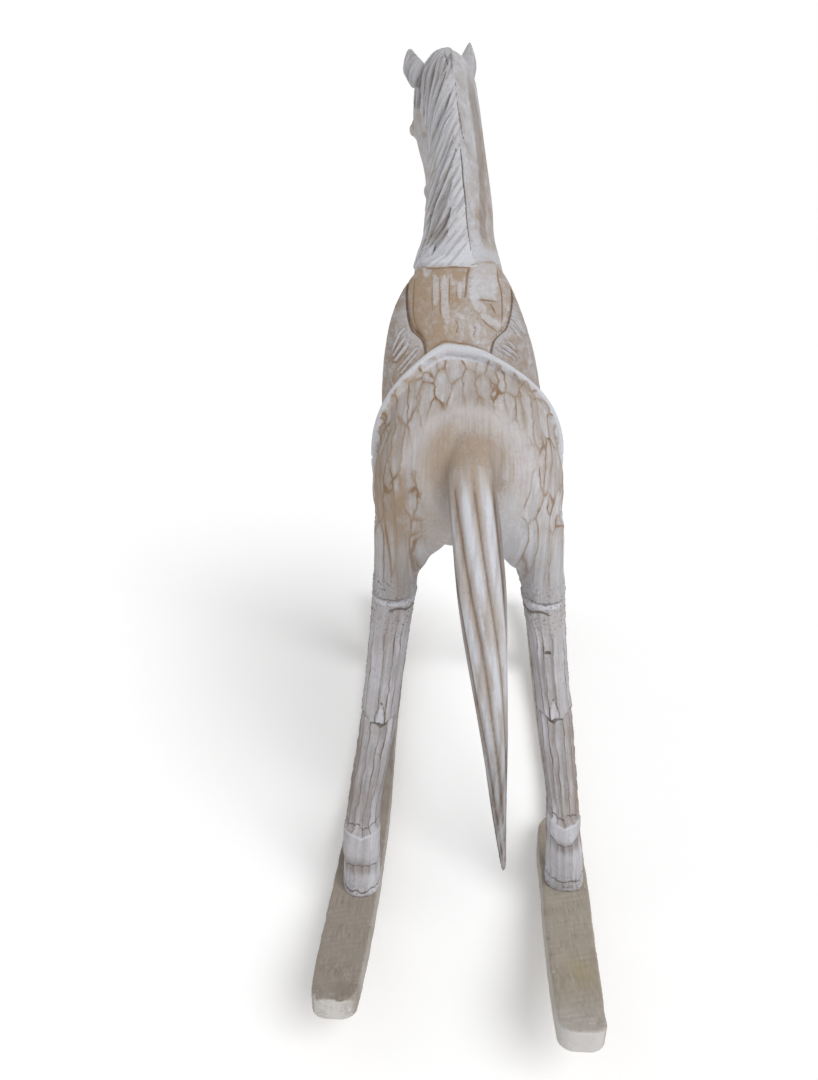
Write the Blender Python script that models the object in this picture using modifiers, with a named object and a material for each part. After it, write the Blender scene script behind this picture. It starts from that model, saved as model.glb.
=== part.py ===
"""Hand-carved wooden rocking horse: one carved body, four pegged legs and two curved runners.

Metres, +Z up.  The horse faces +Y and its right side is +X.  The origin is on the floor, at the
middle of the box that the whole horse fills.  The body, neck, head, mane, saddle and tail are one
carved block, cut flat where each leg is glued on.  Each leg stands on its own runner.
"""

import math

import bmesh
import bpy
from mathutils import Matrix, Vector

COLLECTION = "rocking_horse"
CUTTER_COLLECTION = "rocking_horse_cutters"

# Driving dimensions (m)
GLUE_GAP = 0.0003            # gap left at every glued joint
HIND_JOINT_Z = 0.352         # height of the flat joint between thigh and hind leg
FORE_JOINT_Z = 0.362         # height of the flat joint between shoulder and fore leg
MIDDLE_X = -0.0098           # the middle line of the carving, from the middle of the whole box
MIDDLE_Y = 0.005
RUNNER_RADIUS = 1.19         # radius of the rocking arc
RUNNER_THICKNESS = 0.025
RUNNER_MIDDLE_Y = 0.012      # where the runners touch the floor
RUNNER_FLAT = 0.070          # length of the worn flat under each runner
RUNNER_CORNER = 0.014        # plan radius of the runner's ends
RUNNER_RINGS = 44
LEG_SIDES = 16
RIM_TOP_Y = -0.026
RIM_SLANT = 0.066            # how far back the rim has run where it reaches the flank
RIM_LEAN = math.radians(4.0)  # its highest place is a little to the left
MANE_LOCKS = 10
FORELOCK_LOCKS = 4
MANE_EDGE = 15.0             # degrees from the crest to the mane's right-hand border
TAIL_FLUTES = 7
TAIL_FLUTE_DEPTH = 0.16      # share of the tail's radius
TAIL_TWIST = 1.1             # turn of the flutes from root to tip, in radians
HEAD_TURN = math.radians(2.5)
HEAD_DROP = math.radians(47.0)
BASE_VOXEL = 0.0040
CARVED_VOXEL = 0.0033
BODY_KEEP = 0.048            # share of the remeshed faces that stay

# Torso: y, centre x, bottom, widest level, top, half width, squareness above (1 is round)
TORSO = (
    (-0.178, -0.001, 0.424, 0.464, 0.504, 0.056, 0.90),
    (-0.140, -0.001, 0.410, 0.460, 0.531, 0.082, 0.86),
    (-0.090, -0.002, 0.400, 0.464, 0.545, 0.091, 0.80),
    (-0.040, -0.006, 0.386, 0.480, 0.556, 0.0858, 0.68),
    (0.010, -0.011, 0.382, 0.490, 0.594, 0.085, 0.56),
    (0.060, -0.015, 0.382, 0.492, 0.628, 0.079, 0.54),
    (0.110, -0.012, 0.386, 0.486, 0.650, 0.072, 0.73),
    (0.160, -0.009, 0.400, 0.480, 0.632, 0.066, 0.90),
    (0.205, -0.008, 0.426, 0.484, 0.580, 0.050, 1.00),
)
# Neck: share of its length, centre x, centre y, centre z, half width, half depth
NECK = (
    (0.00, -0.009, 0.138, 0.550, 0.060, 0.078),
    (0.22, -0.0145, 0.146, 0.625, 0.0525, 0.068),
    (0.34, -0.0145, 0.154, 0.6615, 0.0415, 0.0615),
    (0.45, -0.0145, 0.162, 0.695, 0.0382, 0.056),
    (0.68, -0.0185, 0.182, 0.758, 0.0315, 0.049),
    (0.88, -0.0265, 0.205, 0.806, 0.0315, 0.045),
    (1.00, -0.032, 0.222, 0.830, 0.0320, 0.037),
)
# Head, from the poll to the lips: distance, half width, half depth, drop of the centre
HEAD = (
    (-0.020, 0.026, 0.022, 0.008),
    (0.010, 0.036, 0.034, 0.010),
    (0.045, 0.039, 0.043, 0.014),
    (0.080, 0.0335, 0.043, 0.015),
    (0.115, 0.027, 0.033, 0.009),
    (0.150, 0.023, 0.027, 0.005),
    (0.178, 0.022, 0.025, 0.005),
    (0.196, 0.016, 0.017, 0.007),
)
POLL = Vector((-0.033, 0.214, 0.830))
# Ears, from the poll: right, forward, up
EAR_BASE_LEFT = Vector((-0.0300, -0.006, -0.008))
EAR_TIP_LEFT = Vector((-0.0425, -0.014, 0.0275))
EAR_BASE_RIGHT = Vector((0.0215, -0.006, -0.008))
EAR_TIP_RIGHT = Vector((0.0255, -0.014, 0.0355))
EAR_WIDEST = 0.42                        # share of the ear's length, from its base
# Tail: share of its length, x, y, z, half width, half depth
TAIL = (
    (0.00, -0.001, -0.150, 0.504, 0.018, 0.018),
    (0.13, 0.001, -0.208, 0.482, 0.0215, 0.020),
    (0.30, 0.011, -0.262, 0.407, 0.0215, 0.019),
    (0.55, 0.024, -0.288, 0.298, 0.0135, 0.0125),
    (0.80, 0.0335, -0.294, 0.203, 0.0074, 0.0070),
    (0.97, 0.0405, -0.296, 0.138, 0.0030, 0.0030),
    (1.00, 0.0412, -0.296, 0.128, 0.0016, 0.0016),
)
# Legs, from the joint down to the runner: distance from the middle plane, y, z, half width, half depth
HIND_LEG_LEFT = (
    (0.0718, -0.1415, HIND_JOINT_Z, 0.0221, 0.032),
    (0.0800, -0.168, 0.278, 0.0203, 0.026),
    (0.0865, -0.188, 0.219, 0.0195, 0.023),
    (0.0985, -0.208, 0.145, 0.0182, 0.020),
    (0.1020, -0.220, 0.112, 0.0188, 0.021),
    (0.1022, -0.234, 0.075, 0.0192, 0.024),
    (0.1025, -0.242, 0.040, 0.0198, 0.026),
)
HIND_LEG_RIGHT = (
    (0.0774, -0.1412, HIND_JOINT_Z, 0.0216, 0.031),
    (0.0867, -0.168, 0.282, 0.0188, 0.025),
    (0.0948, -0.188, 0.222, 0.0183, 0.022),
    (0.1052, -0.208, 0.150, 0.0166, 0.019),
    (0.1072, -0.218, 0.118, 0.0175, 0.0205),
    (0.1108, -0.223, 0.085, 0.0190, 0.0215),
    (0.1135, -0.225, 0.046, 0.0205, 0.0205),
)
FORE_LEG_LEFT = (
    (0.0700, 0.158, FORE_JOINT_Z, 0.0215, 0.031),
    (0.0785, 0.178, 0.290, 0.0200, 0.026),
    (0.0880, 0.194, 0.221, 0.0190, 0.022),
    (0.0970, 0.206, 0.155, 0.0175, 0.019),
    (0.1010, 0.213, 0.116, 0.0185, 0.021),
    (0.1040, 0.222, 0.080, 0.0195, 0.024),
    (0.1060, 0.230, 0.040, 0.0205, 0.026),
)
FORE_LEG_RIGHT = (
    (0.0570, 0.158, FORE_JOINT_Z, 0.0215, 0.031),
    (0.0740, 0.178, 0.290, 0.0195, 0.026),
    (0.0930, 0.194, 0.221, 0.0185, 0.022),
    (0.1120, 0.206, 0.155, 0.0170, 0.019),
    (0.1215, 0.213, 0.116, 0.0180, 0.021),
    (0.1290, 0.222, 0.080, 0.0190, 0.024),
    (0.1335, 0.230, 0.040, 0.0185, 0.026),
)
# Roots of the limbs inside the body: distance from the middle plane, y, z, half width, half depth
HAUNCH_ROOT = (0.056, -0.120, 0.470, 0.037, 0.054)
SHOULDER_ROOT = (0.038, 0.144, 0.520, 0.036, 0.050)
# Every leg: name, table, side (-1 is the left), root
LEGS = (
    ("leg_hind_left", HIND_LEG_LEFT, -1, HAUNCH_ROOT),
    ("leg_hind_right", HIND_LEG_RIGHT, 1, HAUNCH_ROOT),
    ("leg_fore_left", FORE_LEG_LEFT, -1, SHOULDER_ROOT),
    ("leg_fore_right", FORE_LEG_RIGHT, 1, SHOULDER_ROOT),
)
# Seat of the saddle: y, half width
SEAT = (
    (-0.028, 0.032),
    (-0.016, 0.038),
    (-0.004, 0.051),
    (0.030, 0.057),
    (0.065, 0.055),
    (0.098, 0.044),
)
# Runners: y, inner edge, outer edge (distance from the middle plane)
RUNNER_LEFT = (
    (-0.412, 0.0900, 0.1290),
    (-0.350, 0.0870, 0.1325),
    (-0.240, 0.0840, 0.1330),
    (-0.100, 0.0830, 0.1320),
    (0.060, 0.0860, 0.1290),
    (0.425, 0.0870, 0.1280),
)
RUNNER_RIGHT = (
    (-0.435, 0.0820, 0.1215),
    (-0.343, 0.0840, 0.1295),
    (-0.240, 0.0890, 0.1380),
    (-0.135, 0.0955, 0.1440),
    (-0.104, 0.1120, 0.1460),
    (0.060, 0.1150, 0.1520),
    (0.425, 0.1150, 0.1520),
)


def read_row(table, key):
    """Read a table at any key, along smooth curves through its rows."""
    last = len(table) - 2
    index = 0
    while index < last and key > table[index + 1][0]:
        index += 1
    before, after = table[index], table[index + 1]
    earlier = table[max(index - 1, 0)]
    later = table[min(index + 2, len(table) - 1)]
    span = after[0] - before[0]
    t = min(max((key - before[0]) / span, 0.0), 1.0)
    values = []
    for column in range(1, len(before)):
        slope_in = (after[column] - earlier[column]) / (after[0] - earlier[0])
        slope_out = (later[column] - before[column]) / (later[0] - before[0])
        values.append(
            (2 * t**3 - 3 * t**2 + 1) * before[column]
            + (t**3 - 2 * t**2 + t) * span * slope_in
            + (3 * t**2 - 2 * t**3) * after[column]
            + (t**3 - t**2) * span * slope_out
        )
    return values


def loft(name, rings):
    """A closed solid through a row of rings, each with the same number of points."""
    mesh = bmesh.new()
    loops = [[mesh.verts.new(point) for point in ring] for ring in rings]
    count = len(loops[0])
    for first, second in zip(loops, loops[1:]):
        for i in range(count):
            j = (i + 1) % count
            mesh.faces.new((first[i], first[j], second[j], second[i]))
    mesh.faces.new(list(reversed(loops[0])))
    mesh.faces.new(loops[-1])
    bmesh.ops.recalc_face_normals(mesh, faces=mesh.faces)
    if mesh.calc_volume(signed=True) < 0.0:
        bmesh.ops.reverse_faces(mesh, faces=mesh.faces)
    data = bpy.data.meshes.new(name)
    mesh.to_mesh(data)
    mesh.free()
    return bpy.data.objects.new(name, data)


def ball(name, centre, radii, turn=None):
    """An ellipsoid with the given centre and radii."""
    mesh = bmesh.new()
    bmesh.ops.create_uvsphere(mesh, u_segments=32, v_segments=20, radius=1.0)
    matrix = Matrix.Translation(centre)
    if turn is not None:
        matrix = matrix @ turn.to_4x4()
    matrix = matrix @ Matrix.Diagonal((*radii, 1.0))
    bmesh.ops.transform(mesh, matrix=matrix, verts=mesh.verts)
    data = bpy.data.meshes.new(name)
    mesh.to_mesh(data)
    mesh.free()
    return bpy.data.objects.new(name, data)


def tube(name, points, radii, flatten=1.0, sides=12):
    """A round-ended strand through points, with a radius at each point."""
    rings = []
    for index, point in enumerate(points):
        ahead = points[min(index + 1, len(points) - 1)]
        behind = points[max(index - 1, 0)]
        along = (ahead - behind).normalized()
        side = along.cross(Vector((0.0, 0.0, 1.0)))
        if side.length < 0.05:
            side = along.cross(Vector((0.0, 1.0, 0.0)))
        side.normalize()
        up = side.cross(along)
        ring = []
        for i in range(sides):
            angle = 2 * math.pi * i / sides
            ring.append(
                point
                + side * math.cos(angle) * radii[index]
                + up * math.sin(angle) * radii[index] * flatten
            )
        rings.append(ring)
    return loft(name, rings)


def fuse(name, pieces, voxel, smooth_steps):
    """Join overlapping solids into one skin and soften it."""
    mesh = bmesh.new()
    for piece in pieces:
        mesh.from_mesh(piece.data)
        bpy.data.objects.remove(piece)
    data = bpy.data.meshes.new(name + "_parts")
    mesh.to_mesh(data)
    mesh.free()
    joined = bpy.data.objects.new(name, data)
    bpy.context.scene.collection.objects.link(joined)
    remesh = joined.modifiers.new("one_skin", "REMESH")
    remesh.mode = "VOXEL"
    remesh.voxel_size = voxel
    remesh.adaptivity = 0.0
    soften = joined.modifiers.new("soften", "SMOOTH")
    soften.factor = 0.5
    soften.iterations = smooth_steps
    graph = bpy.context.evaluated_depsgraph_get()
    result = bpy.data.meshes.new_from_object(joined.evaluated_get(graph))
    bpy.data.objects.remove(joined)
    return bpy.data.objects.new(name, result)


# ---------------------------------------------------------------- body surfaces


def torso_point(y, angle, lift=0.0):
    """A point on the torso; angle 0 is the spine, and positive angles go down the right side."""
    middle, bottom, widest, top, half_width, power = read_row(TORSO, y)
    side = math.sin(angle)
    up = math.cos(angle)
    height = (top - widest) if up > 0 else (widest - bottom)
    power = power if up > 0 else 0.85
    x = middle + (half_width + lift) * math.copysign(abs(side) ** power, side)
    z = widest + (height + lift) * math.copysign(abs(up) ** power, up)
    return Vector((x, y, z))


def torso_angle(y, across):
    """The angle at which the torso's upper side is so far across from its middle."""
    half_width, power = read_row(TORSO, y)[4:]
    return math.asin(min(across / half_width, 1.0) ** (1.0 / power))


def neck_frame(share):
    """Centre, backward direction, half width and half depth of the neck."""
    x, y, z, half_width, half_depth = read_row(NECK, share)
    ahead = read_row(NECK, min(share + 0.02, 1.0))
    behind = read_row(NECK, max(share - 0.02, 0.0))
    along = Vector([ahead[i] - behind[i] for i in range(3)]).normalized()
    side = Vector((1.0, 0.0, 0.0))
    back = along.cross(side).normalized()
    if back.y > 0:
        back.negate()
    return Vector((x, y, z)), side, back, half_width, half_depth


def neck_point(share, angle, lift=0.0):
    """A point on the neck; angle 0 is the crest, and positive angles go round its right side."""
    centre, side, back, half_width, half_depth = neck_frame(share)
    width = (half_width + lift) * math.sin(angle) * (1.0 - 0.22 * math.cos(angle))
    depth = (half_depth + lift) * math.cos(angle)
    return centre + side * width + back * depth


def head_frame():
    """Turns the head's own axes (x right, y along the nose, z up from the face) into the horse's."""
    return (
        Matrix.Translation(POLL)
        @ Matrix.Rotation(HEAD_TURN, 4, "Z")
        @ Matrix.Rotation(-HEAD_DROP, 4, "X")
    )


def circle_angles(count):
    """Equal steps round a full turn."""
    return [2 * math.pi * i / count for i in range(count)]


# ---------------------------------------------------------------- body solids


def make_torso():
    """The barrel, with rump, chest, haunches and shoulders rounded on to it."""
    rear, front = TORSO[0][0], TORSO[-1][0]
    rings = []
    for i in range(40):
        y = rear + (front - rear) * i / 39
        rings.append([torso_point(y, angle) for angle in circle_angles(40)])
    pieces = [loft("torso", rings)]
    pieces.append(ball("rump", (-0.001, -0.140, 0.462), (0.080, 0.062, 0.060)))
    pieces.append(ball("chest", (-0.009, 0.180, 0.495), (0.058, 0.070, 0.085)))
    pieces.append(ball("breast", (-0.010, 0.205, 0.550), (0.046, 0.050, 0.075)))
    for sign in (-1, 1):
        lean = Matrix.Rotation(math.radians(-12), 3, "X")
        haunch = (-0.001 + sign * 0.048, -0.116, 0.450)
        pieces.append(ball("haunch", haunch, (0.0465, 0.070, 0.071), lean))
        groin = (-0.001 + sign * 0.053, -0.128, 0.390)
        pieces.append(ball("groin", groin, (0.021, 0.042, 0.034)))
        shoulder = (-0.009 + sign * 0.043, 0.138, 0.502)
        pieces.append(ball("shoulder", shoulder, (0.036, 0.062, 0.098)))
    return pieces


def limb_ring(x, y, z, half_width, half_depth, count=24):
    """A level ring round a limb, slightly squared."""
    ring = []
    for angle in circle_angles(count):
        side = math.cos(angle)
        fore = math.sin(angle)
        ring.append(
            Vector(
                (
                    x + half_width * math.copysign(abs(side) ** 0.85, side),
                    y + half_depth * math.copysign(abs(fore) ** 0.85, fore),
                    z,
                )
            )
        )
    return ring


def make_thigh(leg, sign, root):
    """The upper limb carved with the body, ending just below its glued joint."""
    across, y, z, half_width, half_depth = leg[0]
    overrun = 0.008
    slope = (leg[1][1] - y) / (leg[1][2] - z)
    splay = (leg[1][0] - across) / (leg[1][2] - z)
    end = (across - splay * overrun, y - slope * overrun, z - overrun, half_width, half_depth)
    rings = []
    for i in range(16):
        t = i / 15
        ease = t * t * (3 - 2 * t)
        quick = min(ease * 1.12, 1.0)
        dome = math.sqrt(1.0 - (1.0 - min(t / 0.45, 1.0)) ** 2) * 0.86 + 0.14
        rings.append(
            limb_ring(
                sign * (root[0] + (end[0] - root[0]) * ease),
                root[1] + (end[1] - root[1]) * t,
                root[2] + (end[2] - root[2]) * t,
                (root[3] + (end[3] - root[3]) * quick) * dome,
                (root[4] + (end[4] - root[4]) * quick) * dome,
            )
        )
    return loft("thigh", rings)


def make_neck():
    """The neck from the shoulders to the poll."""
    rings = []
    for i in range(30):
        rings.append([neck_point(i / 29, angle) for angle in circle_angles(32)])
    return loft("neck", rings)


def make_head():
    """The head, with its cheeks, brows and nostrils."""
    frame = head_frame()
    rings = []
    for i in range(34):
        distance = HEAD[0][0] + (HEAD[-1][0] - HEAD[0][0]) * i / 33
        half_width, half_depth, drop = read_row(HEAD, distance)
        ring = []
        for angle in circle_angles(28):
            across = half_width * math.sin(angle) * (1.0 + 0.10 * math.cos(angle))
            up = half_depth * math.cos(angle) - drop
            ring.append(frame @ Vector((across, distance, up)))
        rings.append(ring)
    pieces = [loft("head", rings)]
    pieces.append(ball("poll", POLL + Vector((-0.0005, -0.008, 0.006)), (0.0235, 0.030, 0.0235)))
    turn = frame.to_3x3()
    for sign in (-1, 1):
        cheek = frame @ Vector((sign * 0.017, 0.058, -0.030))
        pieces.append(ball("cheek", cheek, (0.0185, 0.036, 0.030), turn))
        brow = frame @ Vector((sign * 0.0335, 0.074, 0.006))
        pieces.append(ball("brow", brow, (0.0105, 0.015, 0.0115), turn))
        nostril = frame @ Vector((sign * 0.015, 0.176, 0.006))
        pieces.append(ball("nostril", nostril, (0.011, 0.014, 0.011), turn))
    return pieces


def make_ear(base, tip, half_width):
    """A pointed leaf-shaped ear, standing on the poll."""
    rings = []
    for i in range(16):
        t = i / 15
        if t < EAR_WIDEST:
            width = half_width * (0.72 + 0.28 * math.sin(0.5 * math.pi * t / EAR_WIDEST))
        else:
            width = half_width * (1.0 - ((t - EAR_WIDEST) / (1.0 - EAR_WIDEST)) ** 1.5) + 0.0012
        depth = 0.0070 * (1.0 - t) + 0.0020
        centre = POLL + base.lerp(tip, t)
        ring = []
        for angle in circle_angles(14):
            ring.append(centre + Vector((width * math.cos(angle), depth * math.sin(angle), 0.0)))
        rings.append(ring)
    return loft("ear", rings)


def make_mane():
    """Locks that start along the crest and fall down the left side of the neck, and a forelock."""
    pieces = []
    for index in range(MANE_LOCKS):
        start = 0.10 + 0.92 * (index + 1) / MANE_LOCKS
        points = []
        radii = []
        for step in range(14):
            t = step / 13
            share = start - 0.40 * t ** 1.1
            angle = math.radians(MANE_EDGE - 108.0 * t)
            points.append(neck_point(min(max(share, 0.02), 1.0), angle, -0.0038))
            radii.append(0.0057 * math.sin(math.pi * (0.10 + 0.86 * t)) ** 0.6)
        pieces.append(tube("lock", points, radii))
    ridge = []
    for i in range(16):
        ridge.append(neck_point(0.06 + 0.94 * i / 15, math.radians(MANE_EDGE - 5.0), -0.0010))
    pieces.append(tube("ridge", ridge, [0.0072 * min(0.25 + i / 6, 1.0) for i in range(16)]))
    frame = head_frame()
    for index in range(FORELOCK_LOCKS):
        points = []
        radii = []
        for step in range(12):
            t = step / 11
            distance = -0.010 + 0.066 * t
            angle = math.radians(-26.0 + 17.0 * index + 12.0 * math.sin(2.6 * t + index))
            half_width, half_depth, drop = read_row(HEAD, distance)
            across = (half_width - 0.002) * math.sin(angle)
            up = (half_depth - 0.001) * math.cos(angle) - drop
            points.append(frame @ Vector((across, distance, up)))
            radii.append(0.0066 * (1.0 - 0.7 * t))
        pieces.append(tube("forelock", points, radii))
    return pieces


def seat_half_angle(y):
    """How far the seat reaches down each side of the back."""
    return torso_angle(y, read_row(SEAT, y)[0])


def make_pad(name, first_y, last_y, half_angle, height):
    """A low cushion that follows the back, between two places along it."""
    rings = []
    for i in range(20):
        t = i / 19
        y = first_y + (last_y - first_y) * t
        ends = max(1.0 - abs(2 * t - 1) ** 6, 0.0)
        reach = half_angle(y)
        top = []
        under = []
        for step in range(21):
            u = 2 * step / 20 - 1
            lift = height * ends * (1.0 - abs(u) ** 8) + 0.0002
            top.append(torso_point(y, reach * u, lift))
            under.append(torso_point(y, reach * u, -0.012))
        rings.append(top + under[::-1])
    return loft(name, rings)


def rim_point(angle, lift):
    """A point on the raised rim behind the saddle, which slants back as it goes down."""
    run = math.sin(min(abs(angle + RIM_LEAN), math.pi / 2))
    y = RIM_TOP_Y - RIM_SLANT * (math.hypot(run, 0.08) - 0.08)
    return torso_point(y, angle, lift)


def make_rim():
    """The raised rim from flank to flank over the back."""
    points = []
    radii = []
    reach = math.radians(118.0)
    for i in range(60):
        angle = reach * (2 * i / 59 - 1)
        points.append(rim_point(angle, 0.0008))
        radii.append(0.0072 * (1.0 - 0.55 * abs(2 * i / 59 - 1) ** 3))
    return tube("rim", points, radii)


def make_tail():
    """The hanging tail, with long flutes that turn a little on the way down."""
    rings = []
    for i in range(70):
        share = i / 69
        x, y, z, half_width, half_depth = read_row(TAIL, share)
        ahead = read_row(TAIL, min(share + 0.02, 1.0))
        behind = read_row(TAIL, max(share - 0.02, 0.0))
        along = Vector([ahead[k] - behind[k] for k in range(3)]).normalized()
        side = Vector((0.0, 1.0, 0.0)).cross(along)
        side = Vector((1.0, 0.0, 0.0)) if side.length < 0.3 else side.normalized()
        out = along.cross(side).normalized()
        depth = TAIL_FLUTE_DEPTH * min(share / 0.12, 1.0)
        ring = []
        for angle in circle_angles(56):
            wave = abs(math.sin(0.5 * TAIL_FLUTES * (angle + TAIL_TWIST * share)))
            reach = 1.0 - depth * (1.0 - wave)
            ring.append(
                Vector((x, y, z))
                + side * half_width * reach * math.cos(angle)
                + out * half_depth * reach * math.sin(angle)
            )
        rings.append(ring)
    return loft("tail", rings)


def make_joint_cutter(leg, sign, cutters):
    """A block that cuts a thigh flat, just above its leg."""
    across, y, z = leg[0][:3]
    bpy.ops.mesh.primitive_cube_add(size=1.0)
    block = bpy.context.object
    block.name = "joint_cutter"
    block.scale = (0.080, 0.100, 0.030)
    block.location = (sign * across, y, z + GLUE_GAP - 0.015)
    block.hide_render = True
    block.display_type = "WIRE"
    move_to(block, cutters)
    return block


def move_to(item, collection):
    """Keep an object in one collection only."""
    for owner in list(item.users_collection):
        owner.objects.unlink(item)
    collection.objects.link(item)


def make_body(collection, cutters):
    """Everything carved from the main block."""
    pieces = make_torso()
    for _, leg, sign, root in LEGS:
        pieces.append(make_thigh(leg, sign, root))
    pieces.append(make_neck())
    pieces.extend(make_head())
    base = fuse("smooth_body", pieces, BASE_VOXEL, 7)
    carved = [base, make_rim(), make_tail()]
    carved.append(make_ear(EAR_BASE_LEFT, EAR_TIP_LEFT, 0.0122))
    carved.append(make_ear(EAR_BASE_RIGHT, EAR_TIP_RIGHT, 0.0104))
    carved.append(make_pad("seat", SEAT[0][0] + 0.002, SEAT[-1][0], seat_half_angle, 0.0050))
    carved.extend(make_mane())
    body = fuse("horse_body", carved, CARVED_VOXEL, 2)
    collection.objects.link(body)
    thin = body.modifiers.new("fewer_faces", "DECIMATE")
    thin.ratio = BODY_KEEP
    thin.use_collapse_triangulate = True
    for _, leg, sign, _ in LEGS:
        cut = body.modifiers.new("flat_joint", "BOOLEAN")
        cut.operation = "DIFFERENCE"
        cut.object = make_joint_cutter(leg, sign, cutters)
    return body


# ---------------------------------------------------------------- legs and runners


def arc_height(y, radius):
    """Height of the rocking arc above the floor, flat for a short way under the middle."""
    run = max(abs(y - RUNNER_MIDDLE_Y) - RUNNER_FLAT / 2, 0.0)
    return RUNNER_RADIUS - math.sqrt(radius**2 - run**2)


def runner_top(y):
    """Height of a runner's upper face."""
    return arc_height(y, RUNNER_RADIUS - RUNNER_THICKNESS)


def heel_swell(across, z, centre_z):
    """How far the tuft behind the fetlock stands out: a ledge with a V in it that tapers below."""
    lip = centre_z + 0.016 - 0.009 * (1.0 - abs(across))
    if z > lip:
        return max(1.0 - (z - lip) / 0.007, 0.0)
    return max(1.0 - (lip - z) / 0.046, 0.0) ** 0.7


def make_leg(name, leg, sign, collection):
    """A leg from its joint to its runner, with the carved tuft above the hoof."""
    table = [(-row[2], row[0], row[1], row[3], row[4]) for row in leg]
    tuft_z = leg[4][2] - 0.006
    z = leg[0][2]
    heights = []
    while z > tuft_z + 0.026:
        heights.append(z)
        z -= 0.0150
    while z > leg[-1][2] + 0.026:
        heights.append(z)
        z -= 0.0055
    rings = []
    for z in heights:
        across, y, half_width, half_depth = read_row(table, -z)
        x = sign * across
        ring = limb_ring(x, y, z, half_width, half_depth, LEG_SIDES)
        for point in ring:
            swell = heel_swell((point.x - x) / half_width, z, tuft_z)
            if point.y < y:
                point.y -= 0.0075 * swell
                point.x += 0.0012 * swell * (point.x - x) / half_width
        rings.append(ring)
    across, y, half_width, half_depth = read_row(table, -leg[-1][2])
    foot = limb_ring(sign * across, y, 0.0, half_width, half_depth, LEG_SIDES)
    for point in foot:
        point.z = runner_top(point.y) + GLUE_GAP
    rings.append(foot)
    item = loft(name, rings)
    collection.objects.link(item)
    return item


def make_runner(name, plan, sign, collection):
    """A curved board with rounded ends, flat on the floor under its middle."""
    rear, front = plan[0][0], plan[-1][0]
    rings = []
    for i in range(RUNNER_RINGS + 1):
        t = i / RUNNER_RINGS
        crowded = 0.5 - 0.5 * math.cos(math.pi * t)
        y = rear + (front - rear) * (0.35 * crowded + 0.65 * t)
        inner, outer = read_row(plan, y)
        short = max(RUNNER_CORNER - min(y - rear, front - y), 0.0)
        inset = RUNNER_CORNER - math.sqrt(RUNNER_CORNER**2 - short**2)
        low = arc_height(y, RUNNER_RADIUS)
        high = runner_top(y)
        corners = ((inner + inset, low), (outer - inset, low), (outer - inset, high), (inner + inset, high))
        rings.append([Vector((sign * across, y, z)) for across, z in corners])
    item = loft(name, rings)
    collection.objects.link(item)
    return item


# ---------------------------------------------------------------- finishes and assembly


def wood(name, colour, roughness):
    """A plain wood finish, with its colour as linear red, green and blue."""
    material = bpy.data.materials.new(name)
    material.use_nodes = True
    shader = material.node_tree.nodes["Principled BSDF"]
    shader.inputs["Base Color"].default_value = (*colour, 1.0)
    shader.inputs["Roughness"].default_value = roughness
    shader.inputs["Metallic"].default_value = 0.0
    return material


def finish(item, material):
    """Give an object its wood and shade it smooth between its edges."""
    item.data.materials.clear()
    item.data.materials.append(material)
    item.data.shade_smooth()
    item.data.set_sharp_from_angle(angle=math.radians(40.0))


def main():
    """Build the horse."""
    for item in list(bpy.data.objects):
        bpy.data.objects.remove(item)
    collection = bpy.data.collections.new(COLLECTION)
    cutters = bpy.data.collections.new(CUTTER_COLLECTION)
    bpy.context.scene.collection.children.link(collection)
    bpy.context.scene.collection.children.link(cutters)

    finish(make_body(collection, cutters), wood("limed_wood_body", (0.42, 0.37, 0.33), 0.70))
    for name, leg, sign, _ in LEGS:
        item = make_leg(name, leg, sign, collection)
        finish(item, wood("limed_wood_" + name, (0.38, 0.35, 0.33), 0.70))
    runners = (("runner_left", RUNNER_LEFT, -1), ("runner_right", RUNNER_RIGHT, 1))
    for name, plan, sign in runners:
        item = make_runner(name, plan, sign, collection)
        finish(item, wood("bare_wood_" + name, (0.30, 0.26, 0.23), 0.75))
    middle = bpy.data.objects.new("middle_line", None)
    middle.location = (MIDDLE_X, MIDDLE_Y, 0.0)
    collection.objects.link(middle)
    for item in list(collection.objects) + list(cutters.objects):
        if item != middle:
            item.parent = middle


main()
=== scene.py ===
"""A hand-carved, limewashed wooden rocking horse in a plain pale studio.

The body, neck, head, mane, saddle and tail are one carving. Four legs are let on below it, and
each pair stands on a curved runner. Metres, +Z up; the horse faces +Y and its right is +X.
"""

from __future__ import annotations

import sys

import logging
import math
from collections.abc import Callable
from dataclasses import dataclass, field
from enum import Enum
from functools import partial

import bpy
import numpy as np
from mathutils import Matrix, Vector

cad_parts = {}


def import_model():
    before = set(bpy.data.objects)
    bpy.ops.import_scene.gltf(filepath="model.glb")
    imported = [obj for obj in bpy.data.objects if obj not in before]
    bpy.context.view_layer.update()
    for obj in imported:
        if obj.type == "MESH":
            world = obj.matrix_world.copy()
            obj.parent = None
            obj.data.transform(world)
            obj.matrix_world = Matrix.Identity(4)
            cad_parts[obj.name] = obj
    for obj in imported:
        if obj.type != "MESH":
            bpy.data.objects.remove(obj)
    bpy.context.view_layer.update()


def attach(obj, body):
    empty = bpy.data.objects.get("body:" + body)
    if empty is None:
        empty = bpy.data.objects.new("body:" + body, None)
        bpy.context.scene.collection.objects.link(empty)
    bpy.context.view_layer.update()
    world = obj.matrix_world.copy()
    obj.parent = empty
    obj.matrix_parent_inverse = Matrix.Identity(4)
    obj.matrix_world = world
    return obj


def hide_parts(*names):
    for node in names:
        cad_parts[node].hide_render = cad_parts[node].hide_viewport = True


log = logging.getLogger("rocking_horse")

Array = np.ndarray
Fields = dict[str, np.ndarray]
Object = bpy.types.Object
Socket = bpy.types.NodeSocket
Table = tuple[tuple[float, ...], ...]

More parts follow.
